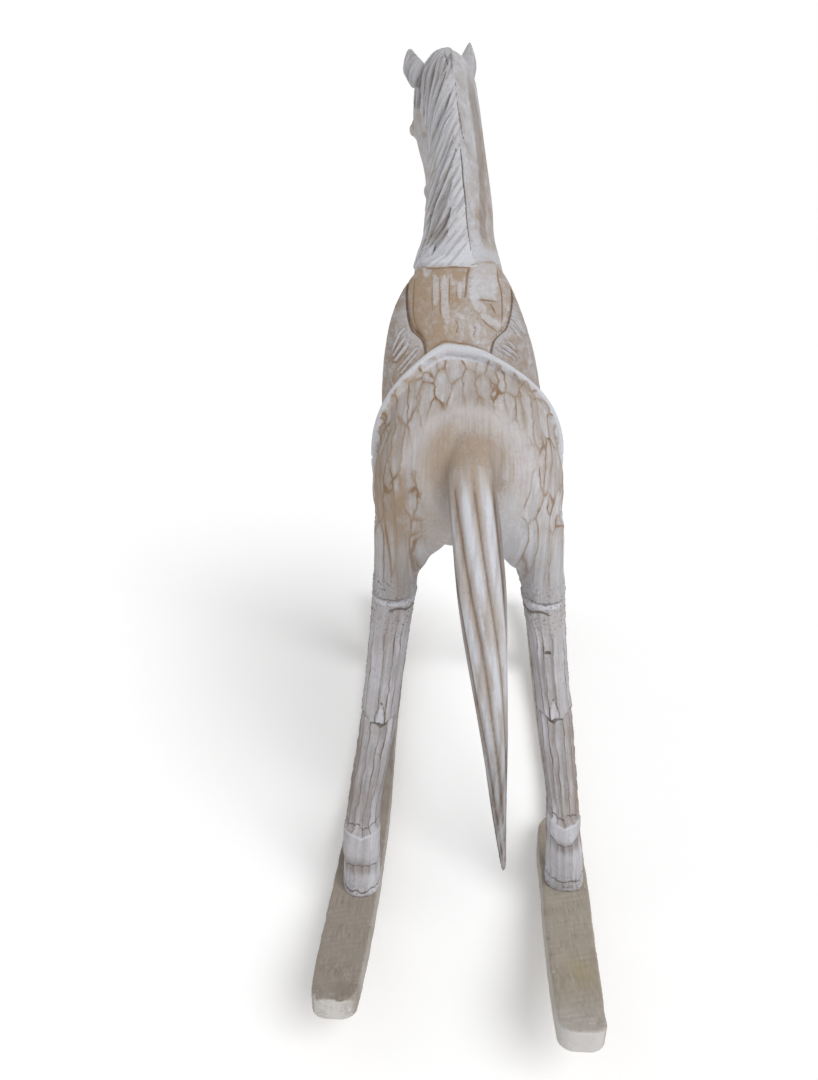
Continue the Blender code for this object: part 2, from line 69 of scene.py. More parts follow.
MIDDLE = np.array((-0.0098, 0.005, 0.0))  # the carving's middle line, from the middle of the box
GLUE_GAP = 0.0003
BODY_TRIANGLES = 190_000
LEG_TRIANGLES = 60_000
BOARD_TRIANGLES = 70_000
PLAIN_COST = 0.000004  # how much less a plain place counts than a carved one when thinning
WOOD_IOR = 1.45
FAR = 9.0  # how far off a place counts as when no stroke is near it, in half widths of a stroke
# what the carvings keep at their vertices for the limed finish, three numbers to a name
KEPT_FIELDS = {
    "tones": ("cells", "stain", "white"),
    "cuts": ("dark", "brown", "pale"),
    # marks: crust and warm are the finish's own colour; the third is painted shade in cuts, under
    # ledges and on sides turned from the key light, with a few random darker streaks
    "marks": ("crust", "warm", "painted_shade_and_streaks"),
    "lines": ("outline", "front", "drawn"),
}


class Side(Enum):
    """Which side of the horse a piece is on."""

    LEFT = -1
    RIGHT = 1


# ---------------- numbers


def read_rows(table: Table, keys: Array | float) -> Array:
    """Read a table at many keys, along smooth curves through its rows.

    Args:
        table: Rows of a rising key and its values.
        keys: Where to read it.

    Returns:
        One row of values for each key.
    """
    rows = np.array(table, float)
    x, v = rows[:, 0], rows[:, 1:]
    keys = np.atleast_1d(np.asarray(keys, float))
    i = np.clip(np.searchsorted(x, keys, side="left") - 1, 0, len(x) - 2)
    earlier, later = np.maximum(i - 1, 0), np.minimum(i + 2, len(x) - 1)
    span = (x[i + 1] - x[i])[:, None]
    t = np.clip((keys - x[i])[:, None] / span, 0.0, 1.0)
    slope_in = (v[i + 1] - v[earlier]) / (x[i + 1] - x[earlier])[:, None]
    slope_out = (v[later] - v[i]) / (x[later] - x[i])[:, None]
    return (
        (2 * t**3 - 3 * t**2 + 1) * v[i]
        + (t**3 - 2 * t**2 + t) * span * slope_in
        + (3 * t**2 - 2 * t**3) * v[i + 1]
        + (t**3 - t**2) * span * slope_out
    )


def signed_power(value: Array, power: Array | float) -> Array:
    """Raise the size of a value to a power and keep its sign."""
    return np.copysign(np.abs(value) ** power, value)


def ease(low: float, high: float, value: Array) -> Array:
    """A smooth step from 0 at low to 1 at high."""
    t = np.clip((value - low) / (high - low), 0.0, 1.0)
    return t * t * (3.0 - 2.0 * t)


def bump(value: Array, width: float) -> Array:
    """A smooth hump, 1 at zero and almost nothing at the given width."""
    return np.exp(-((value / (0.5 * width)) ** 2))


def wobble(points: Array, length: float, seed: int) -> Array:
    """Uneven waves over space, such as a hand leaves.

    Args:
        points: Places in metres.
        length: About how long one wave is, in metres.
        seed: Chooses the waves.

    Returns:
        Values between about -1 and 1.
    """
    random = np.random.default_rng(seed)
    total = np.zeros(len(points))
    for _ in range(6):
        direction = random.normal(size=3)
        direction *= 2 * math.pi / length * random.uniform(0.6, 1.5) / np.linalg.norm(direction)
        total += np.sin(points @ direction + random.uniform(0, 2 * math.pi))
    return total / 3.2


def crusted(points: Array) -> Array:
    """The rough skin of filler and thick wash."""
    return wobble(points, 0.0045, 41) + wobble(points, 0.0020, 42)


def aslant(up: Array, round_it: Array) -> tuple[Array, Array]:
    """Turn distances up and round the neck into those across and along the mane's locks."""
    return 0.72 * up + 0.69 * round_it, 0.72 * round_it - 0.69 * up


def near_strokes(
    points: Array, strokes: Table, units: tuple[float, float], rounded: float = 0.5
) -> Array:
    """How near flat points are to the nearest of some cut strokes.

    Args:
        points: Places on a flat chart, in the strokes' own numbers.
        strokes: For each stroke its width in metres, then two numbers for each place along it.
        units: Metres for one of each of the chart's two numbers.
        rounded: How fast a stroke narrows towards its ends.

    Returns:
        Distances as a share of the stroke's half width, at most FAR.
    """
    flat = points * units
    nearest = np.full(len(points), FAR)
    for width, *numbers in strokes:
        way = np.array(numbers, float).reshape(-1, 2) * units
        keyed = tuple((i / (len(way) - 1), *place) for i, place in enumerate(way))
        line = read_rows(keyed, np.linspace(0.0, 1.0, 15))
        close = np.all((flat > line.min(0) - 2 * width) & (flat < line.max(0) + 2 * width), axis=1)
        here = flat[close]
        best = np.full(len(here), FAR)
        for i, (start, end) in enumerate(zip(line, line[1:])):
            run = end - start
            t = np.clip(((here - start) @ run) / (run @ run), 0.0, 1.0)
            far = np.linalg.norm(here - start - t[:, None] * run, axis=1)
            full = np.clip(np.sin(math.pi * (i + t) / (len(line) - 1)), 0.02, 1.0) ** rounded
            best = np.minimum(best, far / (0.5 * width * full))
        nearest[close] = np.minimum(nearest[close], best)
    return nearest


def circle(count: int) -> Array:
    """Angles once round, evenly spaced."""
    return np.linspace(0, 2 * math.pi, count, endpoint=False)


def hollow(ratio: Array) -> Array:
    """The round bottom of a cut, 1 in its middle and 0 at its edges."""
    return np.clip(1.0 - ratio**2, 0.0, 1.0)


# ---------------- meshes


def select_only(*items: Object) -> None:
    """Select these objects and nothing else.

    Args:
        items: What to select; the first is the active one.
    """
    bpy.ops.object.select_all(action="DESELECT")
    for item in items:
        item.select_set(True)
    bpy.context.view_layer.objects.active = items[0]


def loft(name: str, rings: Array) -> Object:
    """A closed solid through a row of rings.

    Args:
        name: The new object's name.
        rings: Places as (rings, points in a ring, 3).

    Returns:
        The solid, with its faces outwards.
    """
    count, sides = rings.shape[:2]
    grid = np.arange(count * sides).reshape(count, sides)
    quads = np.stack(
        [grid[:-1], np.roll(grid[:-1], -1, axis=1), np.roll(grid[1:], -1, axis=1), grid[1:]],
        axis=-1,
    )
    faces = quads.reshape(-1, 4).tolist() + [grid[0][::-1].tolist(), grid[-1].tolist()]
    mesh = bpy.data.meshes.new(name)
    mesh.from_pydata(rings.reshape(-1, 3).tolist(), [], faces)
    item = bpy.data.objects.new(name, mesh)
    bpy.context.scene.collection.objects.link(item)
    face_outwards(item)
    return item


def face_outwards(item: Object) -> None:
    """Turn every face of a closed shape outwards.

    Args:
        item: The shape.
    """
    select_only(item)
    bpy.ops.object.mode_set(mode="EDIT")
    bpy.ops.mesh.select_all(action="SELECT")
    bpy.ops.mesh.normals_make_consistent(inside=False)
    bpy.ops.object.mode_set(mode="OBJECT")


def ball(name: str, centre: Vector, radii: tuple, turn: Matrix | None = None) -> Object:
    """An ellipsoid.

    Args:
        name: The new object's name.
        centre: Its middle.
        radii: Half its length along each of its own axes.
        turn: How its own axes lie, or None for the horse's.

    Returns:
        The ellipsoid, with its place in its mesh.
    """
    bpy.ops.mesh.primitive_uv_sphere_add(segments=48, ring_count=32, radius=1.0)
    item = bpy.context.object
    item.name = name
    matrix = Matrix.Translation(centre)
    if turn is not None:
        matrix = matrix @ turn.to_4x4()
    item.data.transform(matrix @ Matrix.Diagonal((*radii, 1.0)))
    return item


def tube(name: str, points: Array, radii: Array, sides: int = 20) -> Object:
    """A strand through points.

    Args:
        name: The new object's name.
        points: The strand's middle line.
        radii: Its radius at each point.
        sides: Points round it.

    Returns:
        The closed strand.
    """
    along = np.gradient(points, axis=0)
    along /= np.linalg.norm(along, axis=1)[:, None]
    side = np.cross(along, (0.0, 0.0, 1.0))
    weak = np.linalg.norm(side, axis=1) < 0.05
    side[weak] = np.cross(along[weak], (0.0, 1.0, 0.0))
    side /= np.linalg.norm(side, axis=1)[:, None]
    up = np.cross(side, along)
    angle = circle(sides)
    ring = side[:, None] * np.cos(angle)[None, :, None] + up[:, None] * np.sin(angle)[None, :, None]
    return loft(name, points[:, None] + ring * radii[:, None, None])


def apply(item: Object, kind: str, **settings: object) -> None:
    """Add one modifier and apply it.

    Args:
        item: The object that it changes.
        kind: The modifier's kind.
        settings: What to set on it.
    """
    select_only(item)
    modifier = item.modifiers.new(kind.lower(), kind)
    for name, value in settings.items():
        setattr(modifier, name, value)
    bpy.ops.object.modifier_apply(modifier=modifier.name)


def fuse(name: str, pieces: list[Object], voxel: float, steps: int) -> Object:
    """Join overlapping solids into one skin and soften it.

    Args:
        name: The joined object's name.
        pieces: The solids, which it uses up.
        voxel: How fine the skin is, in metres.
        steps: How often it is softened.

    Returns:
        The one skin.
    """
    select_only(*pieces)
    bpy.ops.object.join()
    item = bpy.context.object
    item.name = name
    item.data.name = name
    apply(item, "REMESH", mode="VOXEL", voxel_size=voxel, adaptivity=0.0)
    if steps:
        apply(item, "SMOOTH", factor=0.5, iterations=steps)
    return item


def read_threes(rows: bpy.types.bpy_prop_collection, name: str) -> Array:
    """Read three numbers from each of a mesh's rows.

    Args:
        rows: Its vertices or its normals.
        name: What to read.

    Returns:
        The numbers, a row for each.
    """
    flat = np.empty(len(rows) * 3, np.float32)
    rows.foreach_get(name, flat)
    return flat.reshape(-1, 3).astype(float)


def places(item: Object) -> Array:
    """The places of an object's vertices."""
    return read_threes(item.data.vertices, "co")


def put(item: Object, points: Array) -> None:
    """Move an object's vertices to new places."""
    item.data.vertices.foreach_set("co", points.astype(np.float32).ravel())
    item.data.update()


def outward(item: Object) -> Array:
    """The outward direction at each of an object's vertices."""
    return read_threes(item.data.vertex_normals, "vector")


def keep_attribute(item: Object, name: str, *columns: Array) -> None:
    """Store three numbers for each vertex, for a finish to read.

    Args:
        item: The object.
        name: What the finish calls them.
        columns: Three arrays, one number for each vertex.
    """
    values = np.stack(columns, axis=1).astype(np.float32)
    attribute = item.data.attributes.new(name, "FLOAT_VECTOR", "POINT")
    attribute.data.foreach_set("vector", values.ravel())


def thin(item: Object, most: int, plain: Array | None = None) -> None:
    """Bring an object down to a number of triangles, and shade it smooth.

    Args:
        item: The object.
        most: How many triangles it may keep.
        plain: How freely each vertex may go, from 0 where the carving is fine to 1.
    """
    item.data.calc_loop_triangles()
    count = len(item.data.loop_triangles)
    settings = {"ratio": most / count, "use_collapse_triangulate": True}
    if plain is not None:
        group = item.vertex_groups.new(name="plain")
        steps = np.round(plain * 10).astype(int)
        for step in range(1, 11):
            group.add(np.nonzero(steps == step)[0].tolist(), step / 10, "REPLACE")
        settings |= {"vertex_group": "plain", "vertex_group_factor": PLAIN_COST}
    if count > most:
        apply(item, "DECIMATE", **settings)
    item.vertex_groups.clear()
    select_only(item)
    bpy.ops.object.shade_smooth()


# ---------------- nodes and finishes


def linear(colour: str) -> tuple[float, float, float, float]:
    """Turn an sRGB hex colour into linear red, green, blue and alpha."""
    values = [int(colour[i : i + 2], 16) / 255 for i in (1, 3, 5)]
    return (*[v / 12.92 if v <= 0.04045 else ((v + 0.055) / 1.055) ** 2.4 for v in values], 1.0)


class Node(Enum):
    """The kinds of node that the finishes and the carving are worked out with."""

    ATTRIBUTE = "ShaderNodeAttribute"
    BUMP = "ShaderNodeBump"
    MATH = "ShaderNodeMath"
    MIX = "ShaderNodeMix"
    NOISE = "ShaderNodeTexNoise"
    OUTPUT = "ShaderNodeOutputMaterial"
    PLACE = "ShaderNodeTexCoord"
    RAMP = "ShaderNodeMapRange"
    SPLIT = "ShaderNodeSeparateXYZ"
    SPLIT_COLOUR = "ShaderNodeSeparateColor"
    SURFACE = "ShaderNodeBsdfPrincipled"
    VECTOR = "ShaderNodeVectorMath"
    CELLS = "ShaderNodeTexVoronoi"
    RAY = "ShaderNodeLightPath"
    KEPT = "GeometryNodeInputNamedAttribute"
    KEEP = "GeometryNodeStoreNamedAttribute"
    ENTRY = "NodeGroupInput"
    EXIT = "NodeGroupOutput"


SMOOTH = {"interpolation_type": "SMOOTHSTEP"}
COLOURS = {"data_type": "RGBA"}


def add_node(
    tree: bpy.types.NodeTree,
    kind: Node,
    inputs: dict[str, object] | tuple[object, ...] = (),
    output: str = "",
    **settings: object,
) -> Socket | None:
    """Add a node with its settings and links.

    Args:
        tree: The node tree.
        kind: The node's kind.
        inputs: A socket to link or a value to set, for the live inputs in order or by name.
        output: The output that is wanted, or nothing for the first.
        settings: The node's own settings.

    Returns:
        The output's socket, or None where the node has none.
    """
    node = tree.nodes.new(kind.value)
    for name, value in settings.items():
        setattr(node, name, value)
    live = [socket for socket in node.inputs if socket.enabled]
    if isinstance(inputs, dict):
        sockets = [next(socket for socket in live if socket.name == name) for name in inputs]
        inputs = tuple(inputs.values())
    else:
        sockets = live
    for socket, value in zip(sockets, inputs):
        if isinstance(value, Socket):
            tree.links.new(value, socket)
        else:
            socket.default_value = value
    return next((s for s in node.outputs if s.enabled and output in ("", s.name)), None)


def new_finish(name: str) -> tuple[bpy.types.Material, Callable[..., Socket]]:
    """Start a material.

    Args:
        name: The material's name.

    Returns:
        The material without any nodes, and add_node for its tree.
    """
    material = bpy.data.materials.new(name)
    material.use_nodes = True
    material.node_tree.nodes.clear()
    return material, partial(add_node, material.node_tree)


@dataclass(frozen=True)
class Gouging:
    """Shallow cuts left by a gouge side by side, which meet in a net of ridges."""

    across: float = 0.0136
    along: float = 0.044
    wander: float = 0.0100
    wander_length: float = 0.028
    shake: float = 0.0052
    shake_length: float = 0.0105
    shift: float = 0.0
    endless: bool = False  # the cuts run on for the whole length of the piece
    full_depth: float = 0.42  # how far off its ridges a cut is deepest, in widths of a cut

    def network(self, tree: bpy.types.NodeTree, place: Socket) -> list[Socket]:
        """Lay out the cuts in a node tree, for a finish or for the carving itself.

        Args:
            tree: The node tree.
            place: Where each point is: across the cuts, along them, and off the surface.

        Returns:
            How far each point is from the nearest ridge, how far it is from the middle of its
            cut, and its cut's own random colour.
        """
        node = partial(add_node, tree)
        for length, reach in ((self.wander_length, self.wander), (self.shake_length, self.shake)):
            bend = node(Node.NOISE, (place, 1.0 / length, 2.0), "Color")
            place = node(Node.VECTOR, (bend, (reach,) * 3, place), operation="MULTIPLY_ADD")
        size = (1 / self.across, 1 / self.along, 1 / self.across)
        cell = node(Node.VECTOR, (place, size, (self.shift,) * 3), operation="MULTIPLY_ADD")
        inputs = {"Vector": cell, "Scale": 1.0, "Randomness": 0.85}
        if self.endless:
            inputs = {"W": node(Node.SPLIT, (cell,), "X"), "Scale": 1.0, "Randomness": 0.85}
        kind = "1D" if self.endless else "3D"
        return [
            node(Node.CELLS, inputs, output, voronoi_dimensions=kind, feature=feature)
            for feature, output in (
                ("DISTANCE_TO_EDGE", "Distance"),
                ("F1", "Distance"),
                ("F1", "Color"),
            )
        ]

    def sample(self, item: Object, place: Array) -> Array:
        """Read the same cuts at an object's vertices.

        Args:
            item: The object.
            place: Where each vertex is: across the cuts, along them, and off the surface.

        Returns:
            How far each vertex is from the nearest ridge.
        """
        keep_attribute(item, "cut_place", *place.T)
        tree = bpy.data.node_groups.new("gouge_sample", "GeometryNodeTree")
        for way in ("INPUT", "OUTPUT"):
            tree.interface.new_socket("Geometry", in_out=way, socket_type="NodeSocketGeometry")
        skin = add_node(tree, Node.ENTRY)
        where = add_node(tree, Node.KEPT, {"Name": "cut_place"}, data_type="FLOAT_VECTOR")
        kept = {"Geometry": skin, "Name": "gouge_edge", "Value": self.network(tree, where)[0]}
        kept = add_node(tree, Node.KEEP, kept, data_type="FLOAT", domain="POINT")
        add_node(tree, Node.EXIT, (kept,))
        apply(item, "NODES", node_group=tree)
        values = np.empty(len(item.data.vertices), np.float32)
        item.data.attributes["gouge_edge"].data.foreach_get("value", values)
        for name in ("gouge_edge", "cut_place"):
            item.data.attributes.remove(item.data.attributes[name])
        bpy.data.node_groups.remove(tree)
        return values.astype(float)

    def scoop(self, edge: Array, depth: float) -> Array:
        """How far the surface is cut back: nothing on a ridge, most in the middle of a cut."""
        reach = np.clip(edge / self.full_depth, 0.0, 1.0)
        return -depth * (2.0 * reach - reach**2)


@dataclass(frozen=True)
class LimedWood:
    """Pale close-grained wood, gouged, brushed with limewash and rubbed back on the ridges.

    The wash lies white and slightly blue in the hollows, the ridges show thin brown lines, and the
    wood's warm brown comes through in soft patches.
    """

    name: str
    gouging: Gouging
    wash: str = "#c9cad0"
    thin_wash: str = "#a8a4a3"
    stain: str = "#a08c78"
    ridge: str = "#866b50"
    # groove: the dark grey-brown that paints shade in cuts and hollows, and also dark cut lines and
    # specks
    groove: str = "#564a42"
    seam: str = "#5e4836"
    halo: str = "#a69079"
    line: float = 0.050  # half a ridge's width, in widths of a cut
    corner: float = 0.30  # how brown the corners are where ridges meet
    grain_size: tuple[float, float, float] = (0.0022, 0.050, 0.0022)
    streak_size: tuple[float, float, float] = (0.0062, 0.048, 0.0062)
    outline_width: float = 0.0014
    front_width: float = 0.0010

    def material(self) -> bpy.types.Material:
        """Make the finish.

        Returns:
            The material.
        """
        material, node = new_finish(self.name)
        place = node(Node.PLACE, (), "Object")
        cut_place, *kept = [
            node(Node.ATTRIBUTE, (), "Vector", attribute_name=name)
            for name in ("cut_place", *KEPT_FIELDS)
        ]
        (
            (cells, stained, whitened),
            (dark_cut, brown_cut, pale_cut),
            (crust, warm, painted_shade_and_streaks),
            (outline, front, drawn),
        ) = [[node(Node.SPLIT, (three,), axis) for axis in "XYZ"] for three in kept]
        edge, middle, tint = self.gouging.network(material.node_tree, cut_place)
        tint = node(Node.SPLIT_COLOUR, (tint,))

        # clouds 40 mm wide, patches 12 mm wide where the wash was brushed thick or thin, and
        # fine pores 3 mm wide; then grain 2 mm wide and soft streaks 6 mm wide along the cuts
        drawn_out = node(Node.VECTOR, (cut_place, (1.0, 0.32, 1.0)), operation="MULTIPLY")
        grain, streaks = [
            node(Node.VECTOR, (cut_place, tuple(1 / s for s in size)), operation="MULTIPLY")
            for size in (self.grain_size, self.streak_size)
        ]
        clouds, patches, fine, grain, streaks = [
            node(Node.RAMP, (node(Node.NOISE, noise), 0.5 - spread, 0.5 + spread))
            for spread, *noise in (
                (0.20, place, 1 / 0.040, 3.0, 0.55),
                (0.20, drawn_out, 1 / 0.012, 3.0, 0.55),
                (0.20, place, 1 / 0.0030, 4.0, 0.55),
                (0.20, grain, 1.0, 5.0, 0.65),
                (0.18, streaks, 1.0, 2.0, 0.5),
            )
        ]
        # the wash gathers in the middle of each cut
        gathered = node(Node.RAMP, (edge, 0.0, 0.17, 0.36, 0.72), **SMOOTH)
        wash_share = node(Node.MIX, (cells, 0.55, gathered), data_type="FLOAT")
        for extra, weight in (
            (clouds, 0.45),
            (patches, 0.35),
            (grain, 0.24),
            (streaks, 0.42),
            (tint, 0.46),
            (fine, 0.15),
        ):
            part = node(Node.MATH, (extra, weight, -0.5 * weight), operation="MULTIPLY_ADD")
            wash_share = node(Node.MATH, (wash_share, part), operation="ADD")
        wash_share = node(Node.RAMP, (wash_share, 0.0, 1.1))
        base = node(Node.MIX, (wash_share, linear(self.thin_wash), linear(self.wash)), **COLOURS)
        # ridges rubbed back to the wood: a thin line with a soft brown edge, wider at corners
        worn = node(Node.RAMP, (patches, 0.1, 0.95, 0.12, 1.35))
        near = node(Node.MATH, (edge, worn), operation="DIVIDE")
        soft_ridge, corner, sharp_ridge = [
            node(Node.RAMP, limits, **SMOOTH)
            for limits in (
                (near, 0.0, 3.0 * self.line, 0.50, 0.0),
                (middle, 0.55, 0.90, 0.0, self.corner),
                (near, 0.25 * self.line, 1.15 * self.line, 0.80, 0.0),
            )
        ]
        # crackled filler shows dark specks, and a cut line is broken by the wood's pores
        specks = node(Node.RAMP, (fine, 0.34, 0.16, 0.0, 0.75))
        broken = node(Node.RAMP, (fine, 0.0, 0.6, 0.60, 1.0))
        pale_line, brown_line, dark_line = [
            node(Node.RAMP, (nearness, 0.0, soft, 0.0, 0.9), **SMOOTH)
            for nearness, soft in ((pale_cut, 0.55), (brown_cut, 0.45), (dark_cut, 0.40))
        ]
        # the saddle's drawn lines, at a distance of nothing from their middles
        outline_line, front_line = [
            node(
                Node.RAMP,
                (node(Node.MATH, (far,), operation="ABSOLUTE"), 0.4 * half, 1.3 * half, 0.9, 0.0),
                **SMOOTH,
            )
            for far, half in ((outline, self.outline_width), (front, self.front_width))
        ]
        # stain comes through where the wash is thin
        bare = node(Node.MATH, (1.25, wash_share), operation="SUBTRACT")
        for colour, *shares in (
            (self.stain, bare, stained),
            (self.halo, warm),
            (self.stain, soft_ridge, cells, worn),
            (self.stain, corner, cells, worn),
            (self.ridge, sharp_ridge, cells, worn),
            (self.wash, whitened),
            (self.wash, pale_line, broken),
            # painted shade, with a few random darker streaks, laid on in the groove colour
            (self.groove, painted_shade_and_streaks),
            (self.ridge, brown_line, broken),
            (self.groove, dark_line, broken),
            (self.seam, outline_line, drawn, broken),
            (self.ridge, front_line, drawn, broken),
            (self.groove, specks, crust, worn),
        ):
            share = shares[0]
            for other in shares[1:]:
                share = node(Node.MATH, (share, other), operation="MULTIPLY")
            share = node(Node.MATH, (share, 1.0), operation="MULTIPLY", use_clamp=True)
            base = node(Node.MIX, (share, base, linear(colour)), **COLOURS)
        # a last thin veil of grain over wash, stain and lines alike
        veil = node(Node.RAMP, (grain, 0.0, 1.0, 0.91, 1.05))
        base = node(Node.VECTOR, (base, veil), operation="SCALE")
        rough = node(Node.RAMP, (fine, 0.0, 1.0, 0.62, 0.85))
        height = node(Node.MATH, (grain, 0.6, fine), operation="MULTIPLY_ADD")
        dents = {"Strength": 0.35, "Distance": 0.0006, "Height": height}
        skin = {"Base Color": base, "Roughness": rough, "IOR": WOOD_IOR}
        shader = node(Node.SURFACE, {**skin, "Normal": node(Node.BUMP, dents)})
        node(Node.OUTPUT, {"Surface": shader})
        return material


@dataclass(frozen=True)
class BareBoard:
    """Sawn and sanded board, wiped with a faint wash, with chipped white on its ends.

    Its grain is 2.5 mm wide and drawn out along the board, under clouds 22 mm wide.
    """

    name: str = "sanded_board"
    wood: str = "#93887c"
    pale: str = "#a89d92"
    dark: str = "#7a6e63"
    wash: str = "#c4c1bf"
    yellow: str = "#a8966c"
    grain_size: tuple[float, float, float] = (0.0025, 0.050, 0.0040)

    def material(self) -> bpy.types.Material:
        """Make the finish.

        Returns:
            The material.
        """
        material, node = new_finish(self.name)
        place = node(Node.PLACE, (), "Object")
        tones = node(Node.ATTRIBUTE, (), "Vector", attribute_name="tones")
        washed, yellowed, darkened = [node(Node.SPLIT, (tones,), axis) for axis in "XYZ"]
        size = tuple(1 / s for s in self.grain_size)
        stretched = node(Node.VECTOR, (place, size), operation="MULTIPLY")
        grain = node(Node.NOISE, (stretched, 1.0, 5.0, 0.7))
        clouds = node(Node.NOISE, (place, 1 / 0.022, 5.0, 0.6))
        fine = node(Node.NOISE, (place, 1 / 0.0022, 3.0, 0.7))
        share = node(Node.RAMP, (grain, 0.32, 0.68))
        base = node(Node.MIX, (share, linear(self.dark), linear(self.pale)), **COLOURS)
        share = node(Node.RAMP, (clouds, 0.35, 0.65, 0.15, 0.85))
        base = node(Node.MIX, (share, base, linear(self.wood)), **COLOURS)
        # wash, stain and dirt have come off in chips
        chips = node(Node.MATH, (fine, 0.9, clouds), operation="MULTIPLY_ADD")
        chips = node(Node.RAMP, (chips, 0.70, 0.95, 0.25, 1.0))
        for share, colour in ((washed, self.wash), (yellowed, self.yellow), (darkened, self.dark)):
            share = node(Node.MATH, (share, chips), operation="MULTIPLY", use_clamp=True)
            base = node(Node.MIX, (share, base, linear(colour)), **COLOURS)
        rough = node(Node.RAMP, (fine, 0.3, 0.7, 0.68, 0.88))
        height = node(Node.MATH, (grain, fine), operation="ADD")
        dents = {"Strength": 0.4, "Distance": 0.0005, "Height": height}
        skin = {"Base Color": base, "Roughness": rough, "IOR": WOOD_IOR}
        shader = node(Node.SURFACE, {**skin, "Normal": node(Node.BUMP, dents)})
        node(Node.OUTPUT, {"Surface": shader})
        return material


# ---------------- bent forms


@dataclass
class Axis:
    """A bent middle line: places on it, and at each the directions aside, outwards and along.

    It can say where any point lies on it.
    """

    centre: Array
    side: Array
    out: Array
    along: Array

    def rings(self, aside: Array, outwards: Array) -> Array:
        """Rings of places at some distances aside and outwards, as (line, ring, 3)."""
        rings = self.centre[:, None] + self.side[:, None] * aside[..., None]
        return rings + self.out[:, None] * outwards[..., None]

    def locate(self, points: Array) -> tuple[Array, Array, Array]:
        """Say where points lie.

        Args:
            points: Their places.

        Returns:
            Their share of the line's length, and how far they are to its side and outwards.
        """
        last = len(self.centre) - 1
        ahead = points @ self.along.T - np.sum(self.centre * self.along, axis=1)
        i = np.clip((ahead > 0).sum(axis=1) - 1, 0, last - 1)
        row = np.arange(len(points))
        first, second = ahead[row, i], ahead[row, i + 1]
        t = first / np.maximum(first - second, 1e-9)
        share = (i + t) / last
        held = np.clip(t, 0.0, 1.0)[:, None]
        offset = points - self.centre[i] * (1 - held) - self.centre[i + 1] * held
        across = np.sum(offset * self.side[i], axis=1)
        out = np.sum(offset * self.out[i], axis=1)
        return share, across, out


def frames_along(rows: Table, share: Array) -> tuple[Array, Array]:
    """Follow a bent line.

    Args:
        rows: Share of its length, x, y and z.
        share: Where to look.

    Returns:
        Places on the line, and its direction at each.
    """
    places_on_it, ahead, behind = [
        read_rows(rows, at)[:, :3]
        for at in (share, np.minimum(share + 0.02, 1.0), np.maximum(share - 0.02, 0.0))
    ]
    along = ahead - behind
    return places_on_it, along / np.linalg.norm(along, axis=1)[:, None]


@dataclass
class Torso:
    """The barrel of the horse: y, centre x, bottom, widest level, top, half width, squareness."""

    rows: Table = (
        (-0.178, -0.001, 0.424, 0.464, 0.504, 0.056, 0.90),
        (-0.140, -0.001, 0.410, 0.460, 0.531, 0.082, 0.86),
        (-0.090, -0.002, 0.400, 0.464, 0.545, 0.091, 0.80),
        (-0.040, -0.006, 0.386, 0.480, 0.556, 0.0858, 0.68),
        (0.010, -0.011, 0.382, 0.490, 0.594, 0.085, 0.56),
        (0.060, -0.015, 0.382, 0.492, 0.628, 0.079, 0.54),
        (0.110, -0.012, 0.386, 0.486, 0.650, 0.072, 0.73),
        (0.160, -0.009, 0.400, 0.480, 0.632, 0.066, 0.90),
        (0.205, -0.008, 0.426, 0.484, 0.580, 0.050, 1.00),
    )
    under_power: float = 0.85

    def points(self, y: Array, angle: Array, lift: Array | float = 0.0) -> Array:
        """Places on the barrel.

        Args:
            y: Where along the horse.
            angle: From the spine, positive down the right side.
            lift: How far off the surface.

        Returns:
            The places.
        """
        y, angle = np.broadcast_arrays(np.atleast_1d(y), np.atleast_1d(angle))
        middle, bottom, widest, top, half_width, power = read_rows(self.rows, y.ravel()).T
        side, up = np.sin(angle.ravel()), np.cos(angle.ravel())
        lift = np.broadcast_to(lift, y.shape).ravel()
        height = np.where(up > 0, top - widest, widest - bottom)
        power = np.where(up > 0, power, self.under_power)
        x = middle + (half_width + lift) * signed_power(side, power)
        z = widest + (height + lift) * signed_power(up, power)
        return np.stack([x, y.ravel(), z], axis=1).reshape(*y.shape, 3)

    def angle_at(self, points: Array) -> Array:
        """Say at which angle from the spine places lie.

        Args:
            points: The places.

        Returns:
            The angles in radians, more than nothing to the right.
        """
        middle, bottom, widest, top, half_width, power = read_rows(self.rows, points[:, 1]).T
        up = points[:, 2] - widest
        height = np.where(up > 0, top - widest, widest - bottom)
        power = np.where(up > 0, power, self.under_power)
        side = signed_power((points[:, 0] - middle) / half_width, 1 / power)
        return np.arctan2(side, signed_power(up / height, 1 / power))

    def middle(self, y: Array) -> Array:
        """How far the barrel's middle is to the side."""
        return read_rows(self.rows, y)[:, 0]

    def angle_across(self, y: Array, across: Array) -> Array:
        """The angle at which the upper side is so far across from its middle."""
        half_width, power = read_rows(self.rows, y)[:, 4:].T
        return np.arcsin(np.minimum(across / half_width, 1.0) ** (1.0 / power))

    def solids(self) -> list[Object]:
        """The barrel with rump, chest, haunches and shoulders.

        Returns:
            The solids, which overlap.
        """
        y = np.linspace(self.rows[0][0], self.rows[-1][0], 90)
        angle = circle(96)
        solids = [loft("barrel", self.points(y[:, None], angle[None, :]))]
        solids.append(ball("rump", (-0.001, -0.140, 0.462), (0.080, 0.062, 0.060)))
        solids.append(ball("chest", (-0.009, 0.180, 0.495), (0.058, 0.070, 0.085)))
        solids.append(ball("breast", (-0.010, 0.205, 0.550), (0.046, 0.050, 0.075)))
        lean = Matrix.Rotation(math.radians(-12), 3, "X")
        for side in Side:
            haunch = (-0.001 + side.value * 0.048, -0.116, 0.450)
            solids.append(ball("haunch", haunch, (0.0465, 0.070, 0.071), lean))
            groin = (-0.001 + side.value * 0.053, -0.128, 0.399 + side.value * 0.003)
            solids.append(ball("groin", groin, (0.019, 0.040, 0.030)))
            shoulder = (-0.009 + side.value * 0.043, 0.138, 0.502)
            solids.append(ball("shoulder", shoulder, (0.036, 0.062, 0.098)))
        return solids


